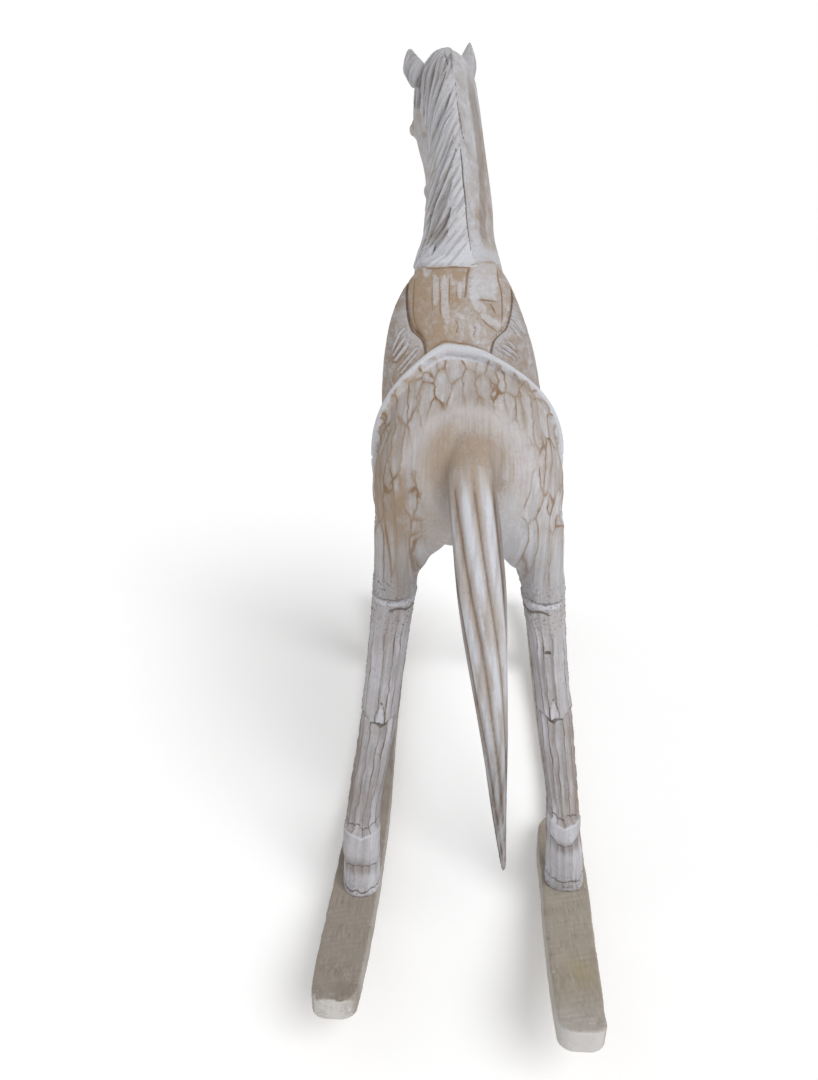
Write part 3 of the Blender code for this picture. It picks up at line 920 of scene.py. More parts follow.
@dataclass
class Neck:
    """The neck: share of its length, centre x, y, z, half width, half depth."""

    rows: Table = (
        (0.00, -0.009, 0.138, 0.550, 0.060, 0.078),
        (0.22, -0.0145, 0.146, 0.625, 0.0525, 0.068),
        (0.34, -0.0145, 0.154, 0.6615, 0.0415, 0.0615),
        (0.45, -0.0145, 0.162, 0.695, 0.0382, 0.056),
        (0.68, -0.0185, 0.182, 0.758, 0.0315, 0.049),
        (0.88, -0.0265, 0.205, 0.806, 0.0315, 0.045),
        (1.00, -0.032, 0.222, 0.830, 0.0320, 0.037),
    )
    narrow: float = 0.22

    def frames(self, share: Array) -> Axis:
        """Lay the neck's axis.

        Args:
            share: Shares of the neck's length.

        Returns:
            Its axis there, outwards being towards the crest.
        """
        centre, along = frames_along(self.rows, share)
        side = np.tile((1.0, 0.0, 0.0), (len(share), 1))
        back = np.cross(side, along)
        back /= np.linalg.norm(back, axis=1)[:, None]
        return Axis(centre, side, back, along)

    def solid(self) -> Object:
        """Build the neck.

        Returns:
            The neck, from the shoulders to the poll.
        """
        share = np.linspace(0.0, 1.0, 90)
        axis = self.frames(share)
        half_width, half_depth = read_rows(self.rows, share)[:, 3:].T
        angle = circle(72)
        width = half_width[:, None] * np.sin(angle) * (1.0 - self.narrow * np.cos(angle))
        depth = half_depth[:, None] * np.cos(angle)
        return loft("neck", axis.rings(width, depth))

    def locate(self, points: Array) -> tuple[Array, Array, Array]:
        """Say where points lie round the neck.

        Args:
            points: Their places.

        Returns:
            Their share of its length, their angle from the crest (positive on the right), and how
            far out they are as a share of its own radius.
        """
        axis = self.frames(np.linspace(0.0, 1.0, 100))
        share, across, out = axis.locate(points)
        half_width, half_depth = read_rows(self.rows, np.clip(share, 0, 1))[:, 3:].T
        angle = np.arctan2(across / half_width, out / half_depth)
        angle = np.arctan2(
            across / half_width / (1.0 - self.narrow * np.cos(angle)), out / half_depth
        )
        return share, angle, np.hypot(across / half_width, out / half_depth)


@dataclass
class Head:
    """The bowed head: distance from the poll, half width, half depth, drop of its centre."""

    rows: Table = (
        (-0.020, 0.026, 0.022, 0.008), (0.010, 0.036, 0.034, 0.010),
        (0.045, 0.039, 0.043, 0.014), (0.080, 0.0335, 0.043, 0.015),
        (0.115, 0.027, 0.033, 0.009), (0.150, 0.023, 0.027, 0.005),
        (0.178, 0.022, 0.025, 0.005), (0.196, 0.016, 0.017, 0.007),
    )
    poll: Vector = field(default_factory=lambda: Vector((-0.033, 0.214, 0.830)))
    turn: float = math.radians(2.5)
    drop: float = math.radians(47.0)
    # ears, from the poll: base, tip, half width
    ears: tuple = (
        ((-0.0300, -0.006, -0.008), (-0.0425, -0.014, 0.0275), 0.0122),
        ((0.0215, -0.006, -0.008), (0.0255, -0.014, 0.0355), 0.0104),
    )
    ear_widest: float = 0.42

    def frame(self) -> Matrix:
        """Turns the head's own axes (right, along the nose, up from the face) into the horse's."""
        turn = Matrix.Rotation(self.turn, 4, "Z") @ Matrix.Rotation(-self.drop, 4, "X")
        return Matrix.Translation(self.poll) @ turn

    def solids(self) -> list[Object]:
        """The head, with its cheeks, brows, nostrils and poll.

        Returns:
            The solids, which overlap.
        """
        frame = self.frame()
        distance = np.linspace(self.rows[0][0], self.rows[-1][0], 80)
        half_width, half_depth, drop = read_rows(self.rows, distance).T
        angle = circle(72)
        across = half_width[:, None] * np.sin(angle) * (1.0 + 0.10 * np.cos(angle))
        up = half_depth[:, None] * np.cos(angle) - drop[:, None]
        own = np.stack([across, np.broadcast_to(distance[:, None], up.shape), up], axis=-1)
        turn = np.array(frame.to_3x3())
        solids = [loft("head", own @ turn.T + np.array(self.poll))]
        top = self.poll + Vector((-0.0005, -0.008, 0.006))
        solids.append(ball("poll", top, (0.0235, 0.030, 0.0235)))
        for side in Side:
            for name, place, radii in (
                ("cheek", (side.value * 0.0175 + 0.0025, 0.058, -0.030), (0.0185, 0.036, 0.030)),
                ("brow", (side.value * 0.0335, 0.074, 0.006), (0.0105, 0.015, 0.0115)),
                ("nostril", (side.value * 0.015, 0.176, 0.006), (0.011, 0.014, 0.011)),
            ):
                solids.append(ball(name, frame @ Vector(place), radii, frame.to_3x3()))
        return solids

    def ear_solids(self) -> list[Object]:
        """Build the ears.

        Returns:
            Two pointed, leaf-shaped ears.
        """
        solids = []
        angle = circle(40)
        t = np.linspace(0.0, 1.0, 60)
        low = 0.72 + 0.28 * np.sin(0.5 * math.pi * t / self.ear_widest)
        high = 1.0 - (np.clip(t - self.ear_widest, 0, 1) / (1.0 - self.ear_widest)) ** 1.5
        for base, tip, half_width in self.ears:
            width = half_width * np.where(t < self.ear_widest, low, high) + 0.0007
            depth = 0.0070 * (1.0 - t) + 0.0014
            line = np.array(self.poll) + np.outer(1 - t, base) + np.outer(t, tip)
            ring = np.stack(
                [np.outer(width, np.cos(angle)), np.outer(depth, np.sin(angle))], axis=-1
            )
            rings = np.concatenate([ring, np.zeros((*ring.shape[:2], 1))], axis=-1)
            solids.append(loft("ear", line[:, None] + rings))
        return solids

    def own(self, points: Array) -> Array:
        """Places in the head's own axes."""
        turn = np.array(self.frame().to_3x3())
        return (points - np.array(self.poll)) @ turn

    def relief(self, points: Array) -> tuple[Array, Array]:
        """Cut the eyes, nostrils and mouth.

        Args:
            points: Places of the carving.

        Returns:
            How far each is moved outwards, and how dark the cut is.
        """
        own = self.own(points)
        height = np.zeros(len(points))
        dark = np.zeros(len(points))
        on_head = (own[:, 1] > 0.02) & (own[:, 2] > -0.075) & (points[:, 2] > 0.66)
        for side in Side:
            eye = np.hypot((own[:, 1] - 0.075) / 1.5, own[:, 2] - 0.004)
            near = on_head & (own[:, 0] * side.value > 0.02)
            lid = bump(eye - 0.0065, 0.0035) * near
            height += -0.0012 * lid + 0.0010 * bump(eye, 0.010) * near
            dark = np.maximum(dark, np.maximum(0.62 * lid, 0.95 * bump(eye, 0.006) * near))
            pit = np.linalg.norm(own - np.array((side.value * 0.019, 0.184, 0.006)), axis=1)
            height -= 0.0040 * bump(pit, 0.010)
            dark = np.maximum(dark, 0.8 * bump(pit, 0.010))
        mouth = bump(own[:, 2] + 0.013 + 0.10 * (own[:, 1] - 0.17), 0.0035)
        mouth *= ease(0.150, 0.160, own[:, 1]) * on_head
        height -= 0.0016 * mouth
        return height, np.maximum(dark, 0.8 * mouth)


@dataclass
class Mane:
    """Long locks from the crest down the left side of the neck, ending at a crisp right border.

    Each cut is its width, then its share of the neck and its angle from the crest in degrees at
    places along it.
    """

    neck: Neck
    grooves: Table = (
        (0.0040, 1.08, -34, 1.01, -52, 0.94, -76, 0.86, -104),
        (0.0052, 0.99, -15, 0.945, -36, 0.90, -57, 0.84, -78, 0.76, -102),
        (0.0058, 0.905, -12, 0.850, -36, 0.785, -66, 0.70, -101),
        (0.0064, 0.815, -9, 0.765, -32, 0.715, -64, 0.650, -99),
        (0.0036, 0.750, -7, 0.705, -40, 0.655, -63, 0.590, -98),
        (0.0052, 0.655, -12, 0.570, -40, 0.470, -64, 0.370, -96),
        (0.0066, 0.612, -6, 0.500, -40, 0.400, -66, 0.300, -74, 0.25, -80),
        (0.0080, 0.495, -17, 0.410, -40, 0.345, -57, 0.285, -63),
        (0.0072, 0.412, -19, 0.355, -32, 0.315, -48, 0.283, -55),
        (0.0068, 0.338, -21, 0.310, -32, 0.285, -43, 0.262, -45),
        (0.0024, 0.985, 9, 0.95, 4, 0.90, 0),
        (0.0024, 0.985, 27, 0.95, 21, 0.89, 15),
        (0.0022, 0.985, -9, 0.93, -7),
    )
    borders: Table = (
        (0.0026, 0.88, 7, 0.78, 4, 0.70, 8, 0.65, 12, 0.597, 27),
        (0.0034, 0.64, 1, 0.60, 4, 0.55, 6, 0.50, 7, 0.43, 11, 0.35, 16, 0.262, 21),
        (0.0024, 0.29, -44, 0.27, -45, 0.248, -44),
        (0.0024, 0.30, -71, 0.275, -72, 0.250, -71),
    )
    right_edge: Table = (
        (0.23, 24.0), (0.35, 17.0), (0.43, 12.0), (0.55, 6.0), (0.64, 3.0),
        (0.74, 5.0), (0.88, 8.0), (1.10, 10.0),
    )
    left_edge: float = -101.0
    foot: float = 0.232
    proud: float = 0.0016
    groove_depth: float = 0.0034
    units: tuple[float, float] = (0.29, 0.00073)

    def strand_place(self, share: Array, degrees: Array) -> Array:
        """Lay places out along the strands.

        Args:
            share: Their share of the neck.
            degrees: Their angle from the crest.

        Returns:
            For each, how far it is across the strands, in widths of a strand, and along them.
        """
        across, along = aslant(share * self.units[0], -degrees * self.units[1])
        return np.stack([across / 0.0052, along / 0.060, 0 * across], axis=1)

    def fields(self, points: Array) -> Fields:
        """Work out the mane at some places.

        Args:
            points: Places of the carving.

        Returns:
            How far each place is raised (height), how much it is mane (inside) or neck (on_neck),
            its distance from a border line, how much it is a cut painted in shade (shade), a lock
            ridge with a painted highlight (lock) or left uncut (bare), and its share and angle of
            the neck.
        """
        share, angle, ratio = self.neck.locate(points)
        degrees = np.degrees(angle)
        on_neck = (ratio > 0.45) & (ratio < 1.7) & (points[:, 2] > 0.625) & (share < 1.25)
        on_neck &= share > self.foot - 0.01
        right = read_rows(self.right_edge, np.clip(share, 0.23, 1.10))[:, 0]
        ragged = self.left_edge + 5.0 * np.sin(60.0 * share) + 3.0 * np.sin(23.0 * share)
        inside = ease(-0.8, 0.8, right - degrees) * ease(-2.0, 2.0, degrees - ragged) * on_neck
        chart = np.stack([share, degrees], axis=1)
        cut = np.full(len(points), FAR)
        border = cut.copy()
        hair = cut.copy()
        here = on_neck & (degrees > -112) & (degrees < 50)
        cut[here] = near_strokes(chart[here], self.grooves, self.units)
        border[here] = near_strokes(chart[here], self.borders, self.units)
        hairs = []
        for _, *numbers in self.grooves:
            for step, width in ((0.024, 0.0018), (-0.022, 0.0016), (0.042, 0.0016)):
                moved = [n + step if i % 2 == 0 else n for i, n in enumerate(numbers)]
                hairs.append((width, *moved))
        hair[here] = near_strokes(chart[here], tuple(hairs), self.units)
        held = ease(self.foot - 0.002, self.foot + 0.002, share)
        strands = wobble(self.strand_place(share, degrees), 1.0, 61) * inside
        height = self.proud * inside * held
        height -= self.groove_depth * (0.65 * hollow(cut) + 0.35 * bump(cut, 3.6)) * inside
        height += 0.0008 * bump(cut - 2.1, 1.4) * inside
        height -= 0.0006 * hollow(hair) * inside * ease(0.8, 1.4, cut)
        height += 0.00045 * strands - 0.0014 * hollow(border)
        # painted shade in each cut, in the hair lines and on the low side of each strand
        shade = 0.46 * bump(cut, 1.6) + 0.26 * hollow(hair) + 0.34 * ease(0.1, 0.7, -strands)
        bare = ease(2.2, 4.0, cut) * ease(0.62, 0.40, share) * ease(-60, -12, degrees)
        return {
            "height": height,
            "inside": inside,
            "border": border,
            "shade": inside * shade,
            # painted highlight on the lock ridge beside each cut and on the raised strands
            "lock": (bump(cut - 2.1, 1.2) + 0.5 * ease(0.2, 0.8, strands)) * inside,
            "bare": bare * inside,
            "share": share,
            "angle": angle,
            "on_neck": on_neck.astype(float),
        }


@dataclass
class Saddle:
    """A low seat outlined by a groove, skirts cut with fans of strokes, and a raised rim behind.

    Each stroke on a skirt is its width, then y and its angle from the spine at places along it.
    Each mark on the seat is its width, then x and y at places along it.
    """

    torso: Torso
    seat: Table = (
        (-0.028, 0.0335), (-0.020, 0.0347), (-0.012, 0.0375), (-0.0055, 0.0430),
        (0.001, 0.0488), (0.010, 0.0523), (0.029, 0.0559), (0.055, 0.0579),
        (0.098, 0.0560),
    )
    seat_middle: float = -0.013
    seat_height: float = 0.0050
    rim_top_y: float = -0.026
    rim_slant: float = 0.066
    rim_lean: float = math.radians(4.0)
    rim_reach: float = math.radians(118.0)
    rim_radius: float = 0.0072
    left_fan: Table = (
        (0.0038, 0.0069, -30, 0.0051, -39, -0.0006, -46, -0.0041, -52),
        (0.0036, -0.0017, -30, -0.0061, -39, -0.0093, -47, -0.0105, -51),
        (0.0042, -0.0084, -29, -0.0133, -36, -0.0162, -44, -0.0161, -50),
        (0.0028, -0.0164, -22, -0.0225, -30, -0.0278, -40, -0.0294, -48),
        (0.0024, -0.0211, -21, -0.0279, -30, -0.0341, -39, -0.0361, -46),
        (0.0020, -0.0280, -30, -0.0330, -37, -0.0372, -43),
    )
    right_fan: Table = (
        (0.0036, 0.0247, 23, 0.0215, 32, 0.0156, 39, 0.0087, 44),
        (0.0032, 0.0166, 22, 0.0175, 29, 0.0123, 36, 0.0058, 42),
        (0.0028, 0.0091, 22, 0.0065, 27, 0.0022, 33, 0.0001, 38),
        (0.0026, -0.0103, 19, -0.0118, 24, -0.0141, 28, -0.0168, 31),
        (0.0026, -0.0157, 15, -0.0168, 21, -0.0196, 27, -0.0228, 33),
        (0.0026, -0.0200, 13, -0.0213, 18, -0.0240, 24, -0.0275, 30),
    )
    piping: Table = (
        (0.0028, 0.025, -46, 0.010, -43, 0.001, -49, -0.004, -54),
        (0.0024, 0.000, -61, -0.018, -58, -0.040, -54, -0.056, -49),
        (0.0030, 0.012, 43, -0.003, 47, -0.015, 48, -0.032, 42),
        (0.0022, 0.030, 50, 0.008, 56, -0.015, 57, -0.045, 50),
    )
    brown_marks: Table = (
        (0.0044, -0.055, 0.075, -0.0475, 0.069, -0.039, 0.067, -0.024, 0.068, -0.002, 0.068),
        (0.0020, -0.002, 0.071, 0.004, 0.0735, 0.0095, 0.074),
        (0.0034, -0.0025, 0.069, -0.005, 0.056, -0.006, 0.036, -0.007, 0.0265),
        (0.0030, 0.006, 0.0253, 0.016, 0.0246, 0.028, 0.0243),
        (0.0024, 0.0283, 0.075, 0.029, 0.054, 0.032, 0.0386, 0.0326, 0.015, 0.032, -0.002),
        (0.0024, -0.062, 0.058, -0.0625, 0.041, -0.062, 0.017, -0.058, 0.001, -0.050, -0.010),
        (0.0018, -0.043, 0.052, -0.042, 0.024, -0.041, 0.012),
        (0.0020, -0.0346, 0.050, -0.0335, 0.030, -0.033, 0.012, -0.030, 0.004),
        (0.0020, -0.024, 0.052, -0.0238, 0.030, -0.0236, 0.016),
        (0.0016, -0.017, 0.045, -0.0165, 0.030, -0.017, 0.018),
        (0.0032, 0.0195, 0.021, 0.0225, 0.016, 0.0252, 0.010),
        (0.0024, 0.010, 0.004, 0.018, -0.003, 0.030, -0.008),
        (0.0018, -0.018, 0.004, -0.014, -0.004, -0.016, -0.012),
        (0.0018, 0.002, -0.002, 0.004, -0.008, 0.002, -0.014),
    )
    pale_marks: Table = (
        (0.0075, -0.0395, 0.056, -0.0385, 0.036, -0.0375, 0.018),
        (0.0100, -0.0296, 0.054, -0.0284, 0.030, -0.027, 0.010, -0.0245, -0.002),
        (0.0060, -0.0125, 0.046, -0.0123, 0.036, -0.012, 0.026),
        (0.0120, 0.0005, 0.038, 0.004, 0.026, 0.008, 0.012),
        (0.0070, 0.011, 0.020, 0.013, 0.015, 0.014, 0.010),
        (0.0085, 0.011, 0.008, 0.020, 0.002, 0.029, -0.001),
        (0.0110, -0.0495, 0.070, -0.049, 0.0626, -0.0485, 0.056),
    )
    panel: tuple[float, float, float, float] = (-0.001, 0.0275, 0.0262, 0.080)

    def rim_y(self, angle: Array) -> Array:
        """How far forward the rim is at some angles from the spine."""
        run = np.sin(np.minimum(np.abs(angle + self.rim_lean), math.pi / 2))
        return self.rim_top_y - self.rim_slant * (np.hypot(run, 0.08) - 0.08)

    def rim(self) -> Object:
        """Build the raised rim.

        Returns:
            The rim, from flank to flank over the back.
        """
        share = np.linspace(-1.0, 1.0, 180)
        angle = self.rim_reach * share
        line = self.torso.points(self.rim_y(angle), angle, 0.0008)
        return tube("rim", line, self.rim_radius * (1.0 - 0.55 * np.abs(share) ** 3))

    def pad(self) -> Object:
        """Build the seat.

        Returns:
            A low cushion that follows the back.
        """
        y = np.linspace(self.seat[0][0] + 0.002, self.seat[-1][0], 60)
        t = np.linspace(0.0, 1.0, 60)
        ends = 1.0 - np.abs(2 * t - 1) ** 6
        half = read_rows(self.seat, y)[:, 0] - 0.012 * ease(0.045, 0.090, y)
        shift = self.seat_middle - self.torso.middle(y)
        left = self.torso.angle_across(y, half - shift)
        right = self.torso.angle_across(y, half + shift)
        u = np.linspace(-1.0, 1.0, 61)
        angle = np.where(u < 0, left[:, None] * u, right[:, None] * u)
        lift = self.seat_height * ends[:, None] * (1.0 - np.abs(u) ** 8)[None, :] + 0.0002
        top = self.torso.points(y[:, None], angle, lift)
        under = self.torso.points(y[:, None], angle, -0.012)
        return loft("seat", np.concatenate([top, under[:, ::-1]], axis=1))

    def fields(self, points: Array, neck_share: Array) -> Fields:
        """Work out the saddle at some places.

        Args:
            points: Places of the carving.
            neck_share: Their share of the neck's length.

        Returns:
            How far each place is raised (height), how much it is seat, skirt, rim, panel, apron
            or the ground between two strokes, how far it is from the lines outline and front and
            how much they are drawn, its cuts brown and pale, and how far ahead of the rim it is.
        """
        x, y, z = points.T
        angle = self.torso.angle_at(points)
        degrees = np.degrees(angle)
        half = read_rows(self.seat, np.clip(y, self.seat[0][0], self.seat[-1][0]))[:, 0]
        inside = half - np.abs(x - self.seat_middle)
        on_back = (np.abs(degrees) < 125) & (z > 0.40) & (y < 0.13) & (neck_share < 0.245)
        ahead = y - self.rim_y(angle)
        below_neck = ease(0.232, 0.226, neck_share)
        seat = ease(-0.001, 0.001, inside) * ease(0.0, 0.004, ahead) * on_back * below_neck
        skirt = ease(0.0, 0.002, -inside) * ease(0.004, 0.006, ahead) * on_back
        skirt *= ease(0.110, 0.060, y - 0.15 * (z - 0.58))
        cut_line = bump(inside, 0.0026) * ease(0.004, 0.008, ahead) * ease(0.078, 0.066, y)
        under_rim = bump(ahead - 0.0082, 0.0024) * on_back
        band = 0.0078 - 0.0022 * np.abs(np.sin(angle + self.rim_lean))
        rim = ease(0.0, -0.0014, np.abs(ahead + 0.0012) - band) * on_back
        rim *= ease(self.rim_reach, math.radians(106), np.abs(angle))
        chart = np.stack([y, degrees], axis=1)
        fans = np.full(len(points), FAR)
        piping = fans.copy()
        side = skirt > 0.01
        units = (1.0, 0.0015)
        fans[side] = near_strokes(chart[side], self.left_fan + self.right_fan, units, 0.5)
        piping[side] = near_strokes(chart[side], self.piping, units, 0.3)
        flat = points[:, :2]
        brown = np.full(len(points), FAR)
        pale = brown.copy()
        top = seat > 0.01
        brown[top] = near_strokes(flat[top], self.brown_marks, (1.0, 1.0), 0.3)
        pale[top] = near_strokes(flat[top], self.pale_marks, (1.0, 1.0), 0.2)
        between = bump(fans - 1.8, 0.9) * skirt
        height = -0.0017 * cut_line * on_back - 0.0011 * under_rim
        height += 0.0010 * (hollow(fans / 1.1) - bump(fans - 1.8, 0.9)) * skirt
        height += 0.0008 * hollow(piping) * skirt
        height -= 0.0007 * hollow(brown) * seat + 0.0005 * hollow(pale / 1.1) * seat
        drawn = ease(0.004, 0.007, ahead) * on_back * ease(0.078, 0.070, y)
        # the pale ground that the strokes start from, beside the seat's lower corners
        apron = skirt * ease(-0.017, -0.006, inside) * ease(0.012, 0.022, ahead)
        apron *= ease(0.110, 0.075, ahead) * ease(0.9, 1.3, fans)
        left, right, rear, front = self.panel
        panel = ease(left - 0.001, left + 0.001, x) * ease(right + 0.001, right - 0.001, x)
        panel *= ease(rear - 0.001, rear + 0.001, y) * ease(front, front - 0.002, y) * seat
        return {
            "height": height,
            "outline": inside,
            "front": ahead - 0.0086,
            "drawn": np.maximum(drawn, 0.6 * bump(ahead - 0.0086, 0.006) * on_back),
            "brown": np.where(top, 1.0 - brown, -1.0),
            "pale": np.where(
                side,
                np.maximum(1.30 - fans, np.minimum(1.2 - piping, 0.45)),
                np.where(top, np.minimum(1.1 - pale, 0.32), -1.0),
            ),
            "between": between,
            "apron": apron,
            "panel": panel,
            "seat": seat,
            "skirt": skirt,
            "rim": rim,
            "ahead": ahead,
        }


@dataclass
class Tail:
    """The hanging tail: share of its length, x, y, z, half width, half depth."""

    rows: Table = (
        (0.00, -0.001, -0.150, 0.504, 0.018, 0.018),
        (0.13, 0.001, -0.208, 0.482, 0.0215, 0.020),
        (0.30, 0.011, -0.262, 0.407, 0.0215, 0.019),
        (0.55, 0.024, -0.288, 0.298, 0.0135, 0.0125),
        (0.80, 0.0335, -0.294, 0.203, 0.0074, 0.0070),
        (0.97, 0.0405, -0.296, 0.138, 0.0030, 0.0030),
        (1.00, 0.0412, -0.296, 0.128, 0.0016, 0.0016),
    )
    flutes: int = 7
    flute_depth: float = 0.17
    twist: float = 1.9
    phase: float = -1.27

    def frames(self, share: Array) -> Axis:
        """Lay the tail's axis.

        Args:
            share: Shares of the tail's length.

        Returns:
            Its axis there, outwards being away from the rump.
        """
        centre, along = frames_along(self.rows, share)
        side = np.cross((0.0, 1.0, 0.0), along)
        side /= np.linalg.norm(side, axis=1)[:, None]
        out = np.cross(along, side)
        return Axis(centre, side, out, along)

    def wave(self, share: Array, angle: Array) -> Array:
        """The flutes' swing, which is nothing along each groove."""
        uneven = 0.16 * np.sin(11.0 * share + 2 * angle) + 0.10 * np.sin(23.0 * share + angle)
        return np.sin(0.5 * self.flutes * (angle + self.twist * share) + self.phase + uneven)

    def solid(self) -> Object:
        """Build the tail.

        Returns:
            The fluted tail.
        """
        share = np.linspace(0.0, 1.0, 320)
        axis = self.frames(share)
        half_width, half_depth = read_rows(self.rows, share)[:, 3:].T
        angle = circle(144)
        depth = self.flute_depth * ease(0.08, 0.24, share)
        swing = np.abs(self.wave(share[:, None], angle[None, :])) ** 0.8
        reach = 1.0 - depth[:, None] * (1.0 - swing)
        wide = half_width[:, None] * reach * np.cos(angle)
        deep = half_depth[:, None] * reach * np.sin(angle)
        return loft("tail", axis.rings(wide, deep))

    def dock(self) -> Object:
        """Build the tail's root.

        Returns:
            A stump that grows out of the rump.
        """
        share = np.linspace(0.0, 0.26, 40)
        line = self.frames(share).centre
        taper = 1.06 - 0.45 * ease(0.10, 0.26, share)
        return tube("dock", line, read_rows(self.rows, share)[:, 4] * taper, 32)

    def locate(self, points: Array) -> tuple[Array, Array, Array]:
        """Say where points lie round the tail.

        Args:
            points: Their places.

        Returns:
            Their share of its length, their angle, and their distance as a share of its radius.
        """
        share, across, out = self.frames(np.linspace(0.0, 1.0, 120)).locate(points)
        half_width, half_depth = read_rows(self.rows, np.clip(share, 0, 1))[:, 3:].T
        angle = np.arctan2(out / half_depth, across / half_width)
        return share, angle, np.hypot(across / half_width, out / half_depth)


def limb_rings(rows: Array, count: int) -> Array:
    """Level rings round a limb, slightly squared.

    Args:
        rows: For each ring its x, y, z, half width and half depth.
        count: Points in a ring.

    Returns:
        The places as (rings, count, 3).
    """
    angle = circle(count)
    side, fore = signed_power(np.cos(angle), 0.85), signed_power(np.sin(angle), 0.85)
    x, y, z, half_width, half_depth = rows.T[..., None]
    return np.stack([x + half_width * side, y + half_depth * fore, z + 0 * side], axis=-1)


@dataclass
class Runner:
    """A curved board under one side: y, inner edge, outer edge from the middle line."""

    node: str
    side: Side
    rows: Table
    radius: float = 1.19
    thickness: float = 0.025
    middle_y: float = 0.012
    flat: float = 0.070
    corner: float = 0.014

    def arc(self, y: Array, radius: float) -> Array:
        """Height of the rocking arc above the floor, flat for a short way under the middle."""
        run = np.maximum(np.abs(y - self.middle_y) - self.flat / 2, 0.0)
        return self.radius - np.sqrt(radius**2 - run**2)

    def top(self, y: Array) -> Array:
        """Height of the upper face."""
        return self.arc(y, self.radius - self.thickness)

    def build(self) -> Object:
        """Cut the board, round its ends and wear its edges.

        Returns:
            The finished board.
        """
        rear, front = self.rows[0][0], self.rows[-1][0]
        width = 0.04
        bpy.ops.mesh.primitive_cube_add(size=1.0)
        board = bpy.context.object
        board.name = self.node + "_board"
        middle = Matrix.Translation((0.0, 0.5 * (rear + front), 0.0))
        board.data.transform(middle @ Matrix.Diagonal((width, front - rear, self.thickness, 1.0)))
        for axis, tool, settings in (
            (2, bpy.ops.mesh.bevel, {"offset": self.corner, "segments": 8}),
            (1, bpy.ops.mesh.subdivide, {"number_cuts": 150}),
        ):
            select_only(board)
            bpy.ops.object.mode_set(mode="EDIT")
            bpy.ops.mesh.select_mode(type="EDGE")
            bpy.ops.mesh.select_all(action="DESELECT")
            bpy.ops.object.mode_set(mode="OBJECT")
            least = 0.8 * (width, front - rear - 2 * self.corner, self.thickness)[axis]
            for edge in board.data.edges:
                start, end = (board.data.vertices[i].co for i in edge.vertices)
                edge.select = abs(end[axis] - start[axis]) > least
            bpy.ops.object.mode_set(mode="EDIT")
            tool(**settings)
            bpy.ops.object.mode_set(mode="OBJECT")
        points = places(board)
        inner, outer = read_rows(self.rows, points[:, 1]).T
        low = self.arc(points[:, 1], self.radius)
        high = self.top(points[:, 1])
        across = inner + (outer - inner) * (points[:, 0] / width + 0.5)
        height = low + (high - low) * (points[:, 2] / self.thickness + 0.5)
        put(board, np.stack([self.side.value * across, points[:, 1], height], axis=1))
        face_outwards(board)
        apply(board, "BEVEL", width=0.0022, segments=3, limit_method="ANGLE")
        apply(board, "REMESH", mode="VOXEL", voxel_size=0.0015, adaptivity=0.0)
        points = places(board)
        y = points[:, 1]
        normal = outward(board)
        inner, outer = read_rows(self.rows, y).T
        edge = np.minimum(np.abs(points[:, 0]) - inner, outer - np.abs(points[:, 0]))
        near_top = ease(0.006, 0.0, self.top(y) - points[:, 2])
        near_edge = ease(0.007, 0.0, edge)
        chips = np.clip(wobble(points, 0.012, 21) + wobble(points, 0.005, 22) - 0.75, 0.0, 1.0)
        ends = ease(0.030, 0.0, np.minimum(y - rear, front - y))
        worn = -0.0022 * chips * near_top * np.maximum(near_edge, ends)
        waves = 0.00035 * wobble(points, 0.035, 23) + 0.0002 * wobble(points, 0.006, 24)
        lying = ease(0.004, 0.0, points[:, 2] - self.arc(y, self.radius)) > 0.5
        waves[lying] = -0.0001
        moved = points + normal * (worn + np.minimum(waves, 0.0002))[:, None]
        moved[:, 2] = np.maximum(moved[:, 2], 0.0)
        put(board, moved + MIDDLE)
        thin(board, BOARD_TRIANGLES)
        return board

    def dress(self, board: Object, finish: bpy.types.Material) -> None:
        """Say where the board is washed, yellowed and darkened, and give it its finish.

        Args:
            board: The board.
            finish: Its material.
        """
        points = places(board) - MIDDLE
        normal = np.abs(outward(board))
        y = points[:, 1]
        rear, front = self.rows[0][0], self.rows[-1][0]
        right = self.side is Side.RIGHT
        end_face = ease(0.45, 0.8, normal[:, 1])
        end_face *= ease(0.040, 0.010, np.minimum(y - rear, front - y))
        washed = 0.85 * end_face + 0.35 * ease(0.5, 0.9, normal[:, 0]) + 0.10
        washed += 0.35 * ease(rear + 0.045, rear + 0.015, y) * right
        yellow = 0.5 * bump(np.hypot(points[:, 0] - 0.112, (y + 0.36) * 0.7), 0.026) * right
        dark = 0.35 * ease(0.3, 0.9, wobble(points, 0.06, 31)) * (1 - end_face)
        keep_attribute(board, "tones", washed, yellow, dark)
        board.data.materials.append(finish)


